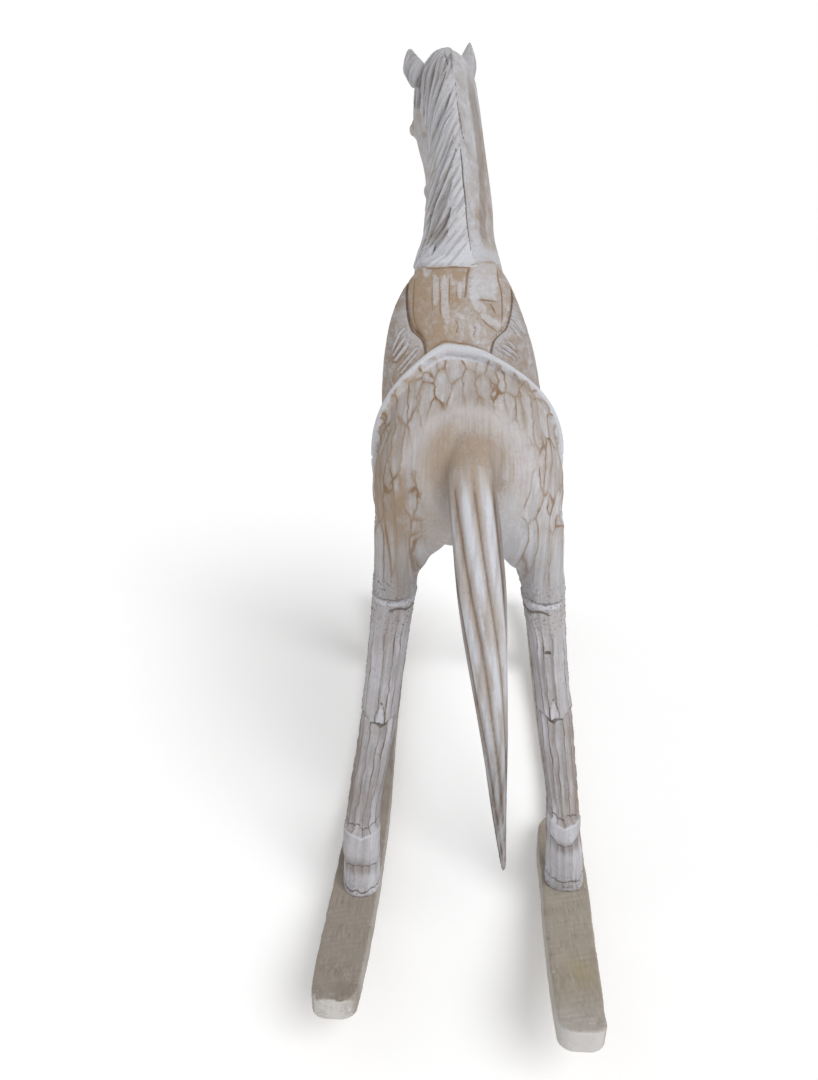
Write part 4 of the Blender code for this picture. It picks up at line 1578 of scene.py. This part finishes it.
@dataclass
class Leg:
    """A leg from its joint to its runner: distance from the middle, y, z, half width, half depth.

    The boss behind its fetlock is its lip's height at the sides and in the middle, its foot's, and
    how far the foot rises at the sides.
    """

    node: str
    side: Side
    rows: Table
    runner: Runner
    gouging: Gouging
    crease_z: float = 0.235
    boss: tuple[float, float, float, float] = (0.124, 0.117, 0.085, -0.004)
    hoof_z: float = 0.062
    nick: tuple[float, float] | None = None
    cut_depth: float = 0.0022
    crust_depth: float = 0.00045

    def keyed(self) -> Table:
        """The rows, keyed by how far down they are."""
        return tuple((-row[2], row[0], row[1], row[3], row[4]) for row in self.rows)

    def thigh(self, root: tuple[float, ...]) -> Object:
        """The upper limb carved with the body, ending just below the joint.

        Args:
            root: Distance from the middle, y, z, half width and half depth inside the body.

        Returns:
            The upper limb.
        """
        across, y, z, half_width, half_depth = self.rows[0]
        overrun = 0.008
        slope = (self.rows[1][1] - y) / (self.rows[1][2] - z)
        splay = (self.rows[1][0] - across) / (self.rows[1][2] - z)
        end = (across - splay * overrun, y - slope * overrun, z - overrun, half_width, half_depth)
        t = np.linspace(0.0, 1.0, 60)
        smooth = t * t * (3 - 2 * t)
        quick = np.minimum(smooth * 1.12, 1.0)
        dome = np.sqrt(1.0 - (1.0 - np.minimum(t / 0.45, 1.0)) ** 2) * 0.86 + 0.14
        share = np.stack([smooth, t, t, quick, quick], axis=1)
        rows = np.array(root) + (np.array(end) - root) * share
        rows[:, 0] *= self.side.value
        rows[:, 3:] *= dome[:, None]
        return loft("thigh", limb_rings(rows, 64))

    def build(self) -> Object:
        """Shape the leg, then cut its facets, tuft, hoof and seams.

        Returns:
            The finished leg.
        """
        top_z, low_z = self.rows[0][2], self.rows[-1][2]
        z = np.linspace(top_z, low_z, 240)
        across, y, half_width, half_depth = read_rows(self.keyed(), -z).T
        rows = np.stack([self.side.value * across, y, z, half_width, half_depth], axis=1)
        rings = limb_rings(rows, 100)
        share = ((top_z - z) / (top_z - low_z)) ** 6
        foot = self.runner.top(rings[..., 1].ravel()).reshape(rings.shape[:2]) + GLUE_GAP
        rings[..., 2] += (foot - low_z) * share[:, None]
        leg = loft(self.node + "_carved", rings)
        put(leg, places(leg) + MIDDLE)
        points = places(leg) - MIDDLE
        edge = self.gouging.sample(leg, self.cut_place(points))
        normal = outward(leg)
        fields = self.fields(points)
        height = fields["height"] + self.gouging.scoop(edge, self.cut_depth) * fields["cells"]
        level = (points[:, 2] > top_z - 0.002) | (self.above_foot(points) < 0.002)
        normal[level, 2] = 0.0
        put(leg, points + normal * height[:, None] + MIDDLE)
        face_outwards(leg)
        thin(leg, LEG_TRIANGLES)
        return leg

    def above_foot(self, points: Array) -> Array:
        """How high places are above the runner's top."""
        return points[:, 2] - self.runner.top(points[:, 1])

    def own(self, points: Array) -> tuple[Array, Array, Array, Array]:
        """Say where points lie in the leg.

        Args:
            points: Places on the leg.

        Returns:
            How far each is outwards and forwards of the leg's middle, in metres and then as
            shares of its half width and half depth.
        """
        across, y, half_width, half_depth = read_rows(self.keyed(), -points[:, 2]).T
        outwards = points[:, 0] * self.side.value - across
        forwards = points[:, 1] - y
        return outwards, forwards, outwards / half_width, forwards / half_depth

    def crease(self, u: Array) -> Array:
        """The height of the crease at some shares of the leg's half width."""
        return self.crease_z - 0.0045 * bump(u + 0.05, 0.9) + 0.0014 * np.sin(9.0 * u + 1.0)

    def cut_place(self, points: Array) -> Array:
        """Lay places out along the cuts, which run down the leg.

        Args:
            points: The places.

        Returns:
            For each, how far it is across the cuts, along them and off the surface.
        """
        _, _, u, v = self.own(points)
        below = points[:, 2] < self.crease(u)
        round_it = 0.0195 * np.arctan2(u, -v)
        return np.stack([round_it + 0.31 * below, -points[:, 2], 0 * u], axis=1)

    def fields(self, points: Array) -> Fields:
        """Work out the leg's carving at some places.

        Args:
            points: Places on the leg.

        Returns:
            Arrays for relief (height, cells) and for the finish: the tones cells, stain and white,
            the cuts dark, brown and pale, and the marks crust, warm and painted shade.
        """
        z = points[:, 2]
        _, _, u, v = self.own(points)
        back = ease(0.05, 0.60, -v)
        sides_z, middle_z, low_z, swept = self.boss
        out = np.minimum(np.abs(u), 1.0)
        lip = middle_z + (sides_z - middle_z) * out**2 - 0.002 * bump(u + 0.05, 0.3)
        low = low_z + swept * out**2
        rise = np.clip((z - low) / (lip - low), 0.0, 1.0)
        boss = ease(-0.0002, 0.0014, lip - z) * ease(0.0, 0.010, z - low) * back
        height = 0.0052 * boss * (1.0 - 0.5 * out) * (0.55 + 0.45 * rise)
        height -= 0.0010 * boss * bump(u + 0.05, 0.12)
        above = z - self.crease(u)
        height += 0.0007 * (ease(-0.0010, 0.0010, above) - ease(0.0, 0.016, above))
        tuft_width = 0.24 * np.sin(np.clip((above + 0.003) / 0.024, 0.0, 1.0) ** 0.6 * math.pi)
        on_tuft = (above > -0.003) & (above < 0.021) & (v < 0)
        tuft = np.where(on_tuft, tuft_width - np.abs(u + 0.05), -1)
        height += 0.0009 * ease(-0.05, 0.10, tuft)
        crease = 1.0 - np.abs(above + 0.0006) / (0.0014 * (1.25 + np.sin(5.0 * u + 2.0)))
        height -= 0.0010 * np.clip(crease, 0.0, 1.0)
        top = self.rows[0][2]
        filled = ease(top - 0.048, top - 0.018, z)
        foot = bump(z - self.hoof_z, 0.014) + bump(self.above_foot(points) - 0.002, 0.010)
        foot = np.minimum(foot, 1.0)
        height += self.crust_depth * crusted(points) * np.maximum(filled, 0.9 * foot)
        height += 0.0009 * bump(z - top + 0.0045, 0.006) - 0.0012 * bump(z - top, 0.004)
        behind = back > 0.4
        keel = (boss > 0.4) & (z < lip - 0.008)
        hoof_line = self.hoof_z + 0.0012 * np.sin(8 * u)
        brown = [crease, 1.0 - np.abs(z - hoof_line) / 0.0011, 0.8 - np.abs(tuft + 0.03) / 0.05]
        for here, weight, away, half_width in (
            (u < 0.15, 1.0, z - top + 0.0105 + 0.0015 * np.sin(6.0 * u), 0.0017),
            # the next line, just above the boss's lip at the back, is a painted shadow along its
            # top edge
            (behind, 1.0, z - lip - 0.0040 - 0.0015 * np.sin(6.0 * u), 0.0010),
            (behind, 0.6, z - low - 0.001, 0.0012),
            (keel, 0.4, u + 0.05, 0.035),
        ):
            brown.append(np.where(here, weight * (1.0 - np.abs(away) / half_width), -1.0))
        dark = np.full(len(points), -1.0)
        if self.nick:
            spot = np.hypot((u - self.nick[0]) / 0.24, (z - self.nick[1]) / 0.0024)
            dark = np.maximum(dark, 1.0 - spot)
            height -= 0.0012 * np.clip(1.0 - spot, 0.0, 1.0)
        # a pale line just under the boss's lip: a painted highlight on its top edge
        lip_highlight = (1.0 - np.abs(lip - z - 0.0022) / 0.0016) * back
        pale = [
            np.where(back > 0.3, lip_highlight, -1.0),
            np.minimum(6.0 * tuft, 0.7),
            1.0 - np.abs(z - top + 0.0045) / 0.0028,
        ]
        outer = ease(0.45, 0.95, u) * ease(self.crease_z + 0.01, self.crease_z - 0.02, z)
        # the lower leg is stained darker: painted shade
        lower = ease(0.26, 0.12, z)
        hoof = ease(low_z, low_z - 0.012, z)
        shank = ease(0.10, 0.13, z)
        patch = ease(0.1, 0.9, wobble(points, 0.05, 51))
        stain = 0.12 + 0.10 * lower + 0.45 * outer + 0.22 * patch - 0.35 * boss
        # the right legs' bosses are whiter: painted light on the side towards the key light
        white = (0.20 + 0.40 * (self.side is Side.RIGHT)) * boss + 0.15 * filled + 0.42 * hoof
        # painted shade: under the boss at the back and on the leg's front
        painted_shade_and_streaks = 0.30 * bump(z - low + 0.003, 0.010) * back + 0.10 * (1.0 - ease(-0.2, 0.5, -v))
        # painted shade: the left legs darker below the crease, away from the key light
        painted_shade_and_streaks += 0.16 * (self.side is Side.LEFT) * ease(self.crease_z, 0.18, z) * shank
        # darker towards the leg's sides
        painted_shade_and_streaks += 0.20 * ease(0.55, 1.0, np.abs(u)) * shank
        return {
            "height": height,
            "cells": (1.0 - 0.95 * boss) * (1.0 - 0.75 * filled) * (1.0 - 0.55 * hoof),
            "stain": stain * ease(low_z - 0.01, low_z, z),
            "white": white,
            "dark": dark,
            "brown": np.maximum.reduce(brown),
            "pale": np.maximum.reduce(pale),
            "crust": np.clip(0.75 * filled + 0.9 * foot + 0.2, 0, 1),
            "warm": 0.10 * filled + 0.06,
            "painted_shade_and_streaks": painted_shade_and_streaks,
        }

    def dress(self, leg: Object, finish: bpy.types.Material) -> None:
        """Say where the leg is lined, stained and washed, and give it its finish.

        Args:
            leg: The leg.
            finish: Its material.
        """
        points = places(leg) - MIDDLE
        store_fields(leg, self.fields(points), self.cut_place(points))
        leg.data.materials.append(finish)


def store_fields(item: Object, fields: Fields, cut_place: Array) -> None:
    """Keep what the limed finish reads at an object's vertices.

    Args:
        item: The object.
        fields: The finish's numbers by name.
        cut_place: Where each vertex is across the cuts, along them and off the surface.
    """
    keep_attribute(item, "cut_place", *cut_place.T)
    none = np.zeros(len(cut_place))
    for name, parts in KEPT_FIELDS.items():
        keep_attribute(item, name, *(np.clip(fields.get(part, none), -1.0, 1.6) for part in parts))


@dataclass
class HorseBody:
    """Everything carved from the main block."""

    torso: Torso
    neck: Neck
    head: Head
    mane: Mane
    saddle: Saddle
    tail: Tail
    legs: list[tuple[Leg, tuple[float, ...]]]
    gouging: Gouging
    joint_z: tuple[float, float] = (0.352, 0.362)
    swirl: tuple[float, float] = (-0.020, 0.400)  # y and z of the axis that the cuts run round
    swirl_radius: float = 0.160
    rough_skin: float = 0.0025
    fine_skin: float = 0.0013
    cut_depth: float = 0.0012
    crust_depth: float = 0.0005

    def build(self) -> Object:
        """Rough out the block, then carve it.

        Returns:
            The finished carving.
        """
        solids = self.torso.solids() + [leg.thigh(root) for leg, root in self.legs]
        solids += [self.neck.solid(), self.tail.dock()] + self.head.solids()
        rough = fuse("rough_block", solids, self.rough_skin, 18)
        log.info("roughed out: %d points", len(rough.data.vertices))
        carved = [rough, self.saddle.rim(), self.saddle.pad(), self.tail.solid()]
        carved += self.head.ear_solids()
        body = fuse("carved_body", carved, self.fine_skin, 2)
        log.info("carving: %d points", len(body.data.vertices))
        points = places(body)
        edge = self.gouging.sample(body, self.cut_place(points))
        normal = outward(body)
        fields = self.fields(points)
        height = fields["height"] + self.gouging.scoop(edge, self.cut_depth) * fields["cells"]
        height += self.crust_depth * crusted(points) * fields["seam"]
        moved = points + normal * height[:, None]
        self.flatten_joints(moved)
        put(body, moved + MIDDLE)
        thin(body, BODY_TRIANGLES, self.plainness(points))
        return body

    def plainness(self, points: Array) -> Array:
        """Say how little gouging there is at some places.

        Args:
            points: The places.

        Returns:
            0 where the wood is kept for finer carving, 1 where the gouge ran freely.
        """
        x, y, z = points.T
        plain = np.full(len(points), 0.6)
        plain[(z < 0.50) | ((y > 0.16) & (z < 0.62))] = 0.9
        plain[(z > 0.545) & (np.abs(y) < 0.12) & (x**2 < 0.1**2)] = 0.1
        plain[(z > 0.64) & (y < 0.32)] = 0.1
        return plain

    def flatten_joints(self, points: Array) -> None:
        """Cut the limbs flat, just above their legs.

        Args:
            points: The body's places, which are changed.
        """
        end = np.where(points[:, 1] < 0, *self.joint_z) + GLUE_GAP
        low = (self.tail.locate(points)[2] > 1.4) & (points[:, 2] < end)
        points[low, 2] = end[low]

    def cut_place(self, points: Array) -> Array:
        """Lay the cuts over the croup and down the haunches, and the grain along each part.

        Args:
            points: Places of the carving.

        Returns:
            For each, how far it is across the cuts, along them and off the surface.
        """
        x, y, z = points.T
        back, up = self.swirl[0] - y, z - self.swirl[1]
        bent = np.arctan2(back, up)
        # the cuts are half as long down the haunches as along the croup
        turn = 0.56 * bent + 0.22 * (bent - 0.75 + np.hypot(bent - 0.75, 0.3))
        # and long again, like fingers, where they run down into the legs
        turn -= 0.35 * (bent - 1.28 + np.hypot(bent - 1.28, 0.12))
        off = np.hypot(back, up) - 0.157 - 0.035 * bump(bent - 1.2, 1.1)
        thigh = ease(1.22, 1.52, bent)
        off += thigh * (-0.033 - off)
        side = np.clip(x / 0.03, -1.0, 1.0)
        across = x + thigh * (0.28 * (x - 0.06 * side) + 0.35 * side * (y + 0.165))
        place = np.stack([across, self.swirl_radius * turn, off], axis=1)
        # along the neck, aslant on the mane's locks, in the head's own axes, and down the tail
        share, angle, _ = self.neck.locate(points)
        neck = (share > 0.235) & (z > 0.60)
        place[neck] = np.stack([x, 0.29 * share, y], axis=1)[neck]
        mane = self.mane.fields(points)
        locks = mane["inside"] > 0.5
        across, along = aslant(0.29 * share, -0.042 * angle)
        place[locks] = np.stack([across, along, 0 * x], axis=1)[locks]
        own = self.head.own(points)
        head = (own[:, 1] > 0.02) & (z > 0.64)
        place[head] = own[head]
        share, side, out = self.tail.frames(np.linspace(0.0, 1.0, 120)).locate(points)
        tail = (share > 0.10) & (self.tail.locate(points)[2] < 1.6)
        place[tail] = np.stack([side, 0.47 * share, out], axis=1)[tail]
        return place

    def fields(self, points: Array) -> Fields:
        """Work out the whole carving at some places.

        Args:
            points: Places of the carving.

        Returns:
            Arrays for relief (height, cells, seam) and for the finish: the tones cells, stain and
            white, the cuts dark, brown and pale, the marks crust, warm and painted shade, and the
            saddle's lines outline, front and drawn.
        """
        mane = self.mane.fields(points)
        saddle = self.saddle.fields(points, self.neck.locate(points)[0])
        face_height, face_dark = self.head.relief(points)
        tail_share, tail_angle, tail_ratio = self.tail.locate(points)
        on_tail = ease(1.50, 1.22, tail_ratio) * ease(0.10, 0.17, tail_share)
        wave = self.tail.wave(np.clip(tail_share, 0, 1), tail_angle)
        x, y, z = points.T
        own = self.head.own(points)
        on_head = ease(0.0, 0.02, own[:, 1]) * (z > 0.64)
        off_mane = 1.0 - mane["inside"]
        share, degrees = mane["share"], np.degrees(mane["angle"])
        throat = ease(95.0, 150.0, np.abs(degrees))
        up_neck = mane["on_neck"] * off_mane * ease(0.232, 0.240 + 0.16 * throat, share)
        base_band = ease(0.232, 0.240, share) * ease(0.30, 0.27, share) * mane["on_neck"]

        # the smooth place round the tail's root, with a warm blurred stain above it
        root = np.linalg.norm(points - np.array((0.002, -0.186, 0.506)), axis=1)
        round_tail = np.hypot((x - 0.003) / 0.044, np.maximum(z - 0.475, 0.0) / 0.052)
        smooth = ease(1.15, 0.90, round_tail) * ease(-0.110, -0.140, y)
        smooth = np.maximum(smooth, ease(0.062, 0.044, root))
        cells = (1.0 - on_tail) * (1.0 - 0.95 * smooth) * off_mane * (1.0 - 0.97 * up_neck)
        cells *= (1.0 - 0.85 * on_head) * (1.0 - 0.88 * saddle["seat"])
        cells *= (1.0 - 0.80 * saddle["skirt"]) * (1.0 - saddle["rim"])
        joint = np.where(y < 0, *self.joint_z)
        seam = ease(joint + 0.030, joint + 0.012, z) * (1.0 - on_tail)
        cells *= 1.0 - 0.75 * seam

        right_band = ease(-1.2, 1.2, degrees - 44.0 - 2.5 * np.sin(14 * share))
        right_band *= ease(6.0, -2.0, degrees - 56.0 - 12.0 * ease(0.4, 0.7, share))
        right_band *= ease(0.300, 0.325, share) * ease(0.98, 0.80, share) * up_neck
        behind = saddle["ahead"] < -0.004
        croup = ease(0.47, 0.54, z) * behind * (1.0 - on_tail)
        # painted shade: the left side, away from the key light, is stained darker, most at its edge
        # and at the neck's base
        left = ease(0.010, -0.060, x) * ease(0.60, 0.40, z)
        left_edge_shade = ease(-0.050, -0.085, x) * behind
        forward = (y > 0.05) & (z > 0.40) & (share < 0.24)
        neck_base_left_shade = ease(0.02, -0.03, x) * ease(0.10, 0.20, share) * forward
        stain = 0.32 + 0.14 * croup + 0.55 * left + 0.25 * left_edge_shade
        stain *= 0.35 + 0.65 * ease(0.37, 0.44, z)
        # the seat and skirts are browner on their left: painted shade
        stain += saddle["seat"] * (0.36 + 0.40 * ease(0.005, -0.035, x))
        stain += saddle["skirt"] * (0.28 + 0.18 * (x < 0))
        stain += 0.7 * neck_base_left_shade + 0.20 * forward
        stain *= (1.0 - 0.90 * up_neck) * (1.0 - 0.92 * mane["inside"]) * (1.0 - 0.5 * smooth)
        blotch = ease(0.0, 0.8, wobble(points, 0.020, 71)) + ease(0.004, 0.018, x)
        stain = np.where(on_head > 0.5, 0.20 + 0.45 * blotch, stain)
        streak = wobble(np.stack([x / 0.0045, y / 0.05, z / 0.05], axis=1), 1.0, 72)
        ridge = np.floor((tail_angle + self.tail.twist * tail_share) / 0.897)
        each = wobble(np.stack([7.7 * ridge, 4.5 * tail_share, 0 * x], axis=1), 1.0, 73)
        groove = bump(wave, 1.05)
        stain *= 1 - on_tail
        stain += on_tail * (0.15 + 0.85 * groove + 0.5 * ease(0.1, 0.9, each))
        at_root = bump(root, 0.050) * (z > 0.44)
        cream = bump(root - 0.060, 0.020) * (z > 0.49)
        stain += 0.35 * at_root + smooth * (0.10 + 0.25 * ease(0.0, 0.8, streak))
        warm = at_root * (0.45 + 0.35 * streak) + 0.10 * croup
        # the smooth place is warmer on its left: painted shade
        warm += 0.60 * cream + smooth * (0.16 + 0.36 * ease(0.0, -0.03, x))
        warm += 0.45 * saddle["seat"] * ease(0.0, -0.035, x)
        warm += 0.30 * right_band + 0.30 * on_tail * ease(0.35, 0.15, tail_share)
        # painted shade: the tail's sides are darkest where it leaves the rump, and so is the rump
        # beside them
        flank = ease(0.75, 0.98, np.abs(np.cos(tail_angle))) * ease(1.9, 1.2, tail_ratio)
        flank *= ease(0.02, 0.10, tail_share)
        tail_edge_shade = flank * on_tail
        flank *= ease(0.42, 0.22, tail_share)
        lower_tail = ease(0.45, 0.75, tail_share) * on_tail
        # painted shade in the tail's flute grooves and on its lower part
        painted_shade_and_streaks = mane["shade"] + on_tail * 0.50 * bump(wave, 0.6) + 0.42 * lower_tail
        # darker towards the bottom of the barrel: painted shade
        painted_shade_and_streaks += 0.16 * ease(0.43, 0.38, z) * (z > 0.3) * (1 - on_tail)
        # the seat's left and the body's left edge darkened: painted shade
        painted_shade_and_streaks += 0.16 * saddle["seat"] * ease(-0.015, -0.045, x) + 0.12 * left_edge_shade
        shaded = 0.62 * saddle["between"] + 0.18 * saddle["skirt"] + 0.10 * up_neck
        painted_shade_and_streaks += shaded + 0.30 * right_band + 0.26 * flank + 0.26 * tail_edge_shade
        painted_shade_and_streaks += 0.22 * ease(0.84, 0.92, share) * mane["inside"]
        # random darker streaks round the tail's root and along it, the wood's own tone
        painted_shade_and_streaks += 0.22 * np.maximum(at_root, on_tail) * ease(0.1, 0.9, -streak)
        warm = np.maximum.reduce([warm, 0.75 * saddle["between"], 0.5 * flank])
        white = 0.26 * mane["inside"] + 0.95 * saddle["rim"] + 0.06 * up_neck
        # the smooth place is whiter on its right: painted light
        white += smooth * (0.26 + 0.25 * ease(0.0, 0.04, x)) * ease(0.034, 0.060, root)
        white += 0.55 * cream + 0.16 * ease(0.44, 0.39, z) * (y < 0) * (1.0 - on_tail)
        # white on some of the flute ridges: partly the wash, partly a painted highlight
        ridges = ease(0.60, 0.95, np.abs(wave)) * ease(0.6, -0.4, each) * (1.0 - tail_edge_shade)
        white += on_tail * 0.85 * ridges * (1.0 - at_root) + 0.65 * base_band + 0.40 * mane["bare"]
        white += 0.60 * mane["lock"] + 0.48 * saddle["panel"] + 0.45 * saddle["apron"]
        white *= 1.0 - 0.9 * right_band
        border = 1.0 - mane["border"]
        flutes = np.where(on_tail > 0.5, 0.7 - np.abs(wave) / 0.25, -1)
        return {
            "height": mane["height"] + saddle["height"] * (1 - on_tail) + face_height,
            "cells": np.clip(cells, 0.0, 1.0),
            "seam": seam,
            "stain": np.clip(stain, 0.0, 1.6),
            "white": np.clip(white, 0.0, 1.0),
            "dark": np.maximum(border, 2.0 * face_dark - 1.0),
            "brown": np.maximum(saddle["brown"], flutes),
            **{name: saddle[name] for name in ("pale", "outline", "front", "drawn")},
            "crust": np.clip(0.75 * seam + 0.12, 0.0, 1.0),
            "warm": warm,
            "painted_shade_and_streaks": painted_shade_and_streaks,
        }

    def dress(self, body: Object, finish: bpy.types.Material) -> None:
        """Say where the carving is lined, stained and washed, and give it its finish.

        Args:
            body: The carving.
            finish: Its material.
        """
        points = places(body) - MIDDLE
        store_fields(body, self.fields(points), self.cut_place(points))
        body.data.materials.append(finish)


# ---------------- studio


@dataclass
class Studio:
    """A plain pale floor, soft light from above and a camera behind the horse."""

    camera_place: tuple[float, float, float] = (-0.0278, -0.870, 0.745)
    camera_turn: tuple[float, float, float] = (math.radians(65.0), 0.0, math.radians(3.1))
    lens: float = 27.2

    def build(self) -> None:
        """Set the camera, the floor and the lights."""
        self.set_camera()
        self.lay_floor()
        self.hang_lights()

    def set_camera(self) -> None:
        """Place the camera."""
        camera = bpy.data.cameras.new("camera")
        camera.lens = self.lens
        camera.sensor_width = 36.0
        item = bpy.data.objects.new("camera", camera)
        item.location = self.camera_place
        item.rotation_euler = self.camera_turn
        bpy.context.scene.collection.objects.link(item)
        bpy.context.scene.camera = item

    def lay_floor(self) -> None:
        """Lay a wide pale floor."""
        bpy.ops.mesh.primitive_circle_add(vertices=96, radius=14.0, fill_type="NGON")
        floor = bpy.context.object
        floor.name = "floor"
        floor.location.z = -0.0002
        material = bpy.data.materials.new("matt_white_floor")
        material.use_nodes = True
        shader = material.node_tree.nodes["Principled BSDF"]
        shader.inputs["Base Color"].default_value = linear("#fcfcfc")
        shader.inputs["Roughness"].default_value = 0.9
        shader.inputs["Emission Color"].default_value = linear("#ffffff")
        shader.inputs["Emission Strength"].default_value = 0.12
        floor.data.materials.append(material)

    def hang_lights(self) -> None:
        """Hang a soft sun and a weaker one across from it, under an even white sky."""
        for name, place, spread, strength in (
            ("key", (1.3, -1.5, 2.4), 35.0, 1.75),
            ("fill", (-1.9, -0.9, 1.8), 60.0, 0.25),
        ):
            light = bpy.data.lights.new(name, "SUN")
            light.angle = math.radians(spread)
            light.energy = strength
            item = bpy.data.objects.new(name, light)
            item.location = place
            item.rotation_euler = (-Vector(place)).to_track_quat("-Z", "Y").to_euler()
            bpy.context.scene.collection.objects.link(item)
        world = bpy.data.worlds.new("even_sky")
        world.use_nodes = True
        tree = world.node_tree
        seen = add_node(tree, Node.RAY, (), "Is Camera Ray")
        strength = add_node(tree, Node.MIX, (seen, 0.46, 1.0), data_type="FLOAT")
        background = tree.nodes["Background"]
        background.inputs["Color"].default_value = (1.0, 1.0, 1.0, 1.0)
        tree.links.new(strength, background.inputs["Strength"])
        bpy.context.scene.world = world
        bpy.context.scene.view_settings.view_transform = "Standard"


# ---------------- assembly

HIND_LEG_LEFT: Table = (
    (0.0718, -0.1415, 0.352, 0.0221, 0.032), (0.0800, -0.168, 0.278, 0.0203, 0.026),
    (0.0865, -0.188, 0.219, 0.0195, 0.023), (0.0985, -0.208, 0.145, 0.0182, 0.020),
    (0.1020, -0.220, 0.112, 0.0188, 0.021), (0.1022, -0.234, 0.075, 0.0192, 0.024),
    (0.1025, -0.242, 0.040, 0.0198, 0.026),
)
HIND_LEG_RIGHT: Table = (
    (0.0774, -0.1412, 0.352, 0.0216, 0.031), (0.0867, -0.168, 0.282, 0.0188, 0.025),
    (0.0948, -0.188, 0.222, 0.0183, 0.022), (0.1052, -0.208, 0.150, 0.0166, 0.019),
    (0.1072, -0.218, 0.118, 0.0175, 0.0205), (0.1108, -0.223, 0.085, 0.0190, 0.0215),
    (0.1135, -0.225, 0.046, 0.0205, 0.0205),
)
FORE_LEG_LEFT: Table = (
    (0.0700, 0.158, 0.362, 0.0215, 0.031), (0.0785, 0.178, 0.290, 0.0200, 0.026),
    (0.0880, 0.194, 0.221, 0.0190, 0.022), (0.0970, 0.206, 0.155, 0.0175, 0.019),
    (0.1010, 0.213, 0.116, 0.0185, 0.021), (0.1040, 0.222, 0.080, 0.0195, 0.024),
    (0.1060, 0.230, 0.040, 0.0205, 0.026),
)
FORE_LEG_RIGHT: Table = (
    (0.0570, 0.158, 0.362, 0.0215, 0.031), (0.0740, 0.178, 0.290, 0.0195, 0.026),
    (0.0930, 0.194, 0.221, 0.0185, 0.022), (0.1120, 0.206, 0.155, 0.0170, 0.019),
    (0.1215, 0.213, 0.116, 0.0180, 0.021), (0.1290, 0.222, 0.080, 0.0190, 0.024),
    (0.1335, 0.230, 0.040, 0.0185, 0.026),
)
HAUNCH_ROOT = (0.056, -0.120, 0.470, 0.037, 0.054)
SHOULDER_ROOT = (0.038, 0.144, 0.520, 0.036, 0.050)
RUNNER_LEFT: Table = (
    (-0.412, 0.0900, 0.1290), (-0.350, 0.0870, 0.1325), (-0.240, 0.0840, 0.1330),
    (-0.100, 0.0830, 0.1320), (0.060, 0.0860, 0.1290), (0.425, 0.0870, 0.1280),
)
RUNNER_RIGHT: Table = (
    (-0.435, 0.0820, 0.1215), (-0.343, 0.0840, 0.1295), (-0.240, 0.0890, 0.1380),
    (-0.135, 0.0955, 0.1440), (-0.104, 0.1120, 0.1460), (0.060, 0.1150, 0.1520),
    (0.425, 0.1150, 0.1520),
)


def hand_over(piece: Object, node: str) -> None:
    """Let a finished piece ride on the horse in the place of its plain solid.

    Args:
        piece: The finished piece.
        node: The solid that it stands for.
    """
    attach(piece, "root")
    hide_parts(node)
    piece.data.calc_loop_triangles()
    log.info("%s: %d triangles", piece.name, len(piece.data.loop_triangles))


def main() -> None:
    """Build the horse piece by piece."""
    logging.basicConfig(level=logging.INFO, format="%(message)s", stream=sys.stdout)
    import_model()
    Studio().build()

    left, right = Side.LEFT, Side.RIGHT
    body_gouging = Gouging()
    leg_gouging = Gouging(
        across=0.0090, wander=0.0110, wander_length=0.050, shake=0.0030, shift=3.7, endless=True
    )
    runners = {
        left: Runner("runner_left", left, RUNNER_LEFT),
        right: Runner("runner_right", right, RUNNER_RIGHT),
    }
    legs = [
        (Leg(node, side, rows, runners[side], leg_gouging, crease_z, boss, hoof_z, nick), root)
        for node, side, rows, root, crease_z, boss, hoof_z, nick in (
            ("leg_hind_left", left, HIND_LEG_LEFT, HAUNCH_ROOT)
            + (0.231, (0.1150, 0.1140, 0.0810, -0.004), 0.056, None),
            ("leg_hind_right", right, HIND_LEG_RIGHT, HAUNCH_ROOT)
            + (0.2410, (0.1335, 0.1310, 0.1030, 0.013), 0.0600, (-0.1, 0.303)),
            ("leg_fore_left", left, FORE_LEG_LEFT, SHOULDER_ROOT)
            + (0.240, (0.1230, 0.1210, 0.0900, -0.004), 0.060, None),
            ("leg_fore_right", right, FORE_LEG_RIGHT, SHOULDER_ROOT)
            + (0.236, (0.1250, 0.1230, 0.0920, 0.008), 0.062, None),
        )
    ]

    lighter = {"wood": "#a19788", "pale": "#b6ac9f", "dark": "#877b6d"}
    boards = {left: BareBoard(), right: BareBoard("lighter_sanded_board", **lighter)}
    for side, runner in runners.items():
        board = runner.build()
        runner.dress(board, boards[side].material())
        hand_over(board, runner.node)

    leg_finish = LimedWood(
        "knife_cut_limed_wood",
        leg_gouging,
        wash="#c8c8cf",
        thin_wash="#918d8d",
        stain="#94857a",
        ridge="#675a52",
        corner=0.0,
    ).material()
    for leg, _ in legs:
        piece = leg.build()
        leg.dress(piece, leg_finish)
        hand_over(piece, leg.node)

    torso, neck = Torso(), Neck()
    carving = HorseBody(torso, neck, Head(), Mane(neck), Saddle(torso), Tail(), legs, body_gouging)
    body = carving.build()
    carving.dress(body, LimedWood("gouged_limed_wood", body_gouging).material())
    hand_over(body, "horse_body")


if __name__ == "__main__":
    main()
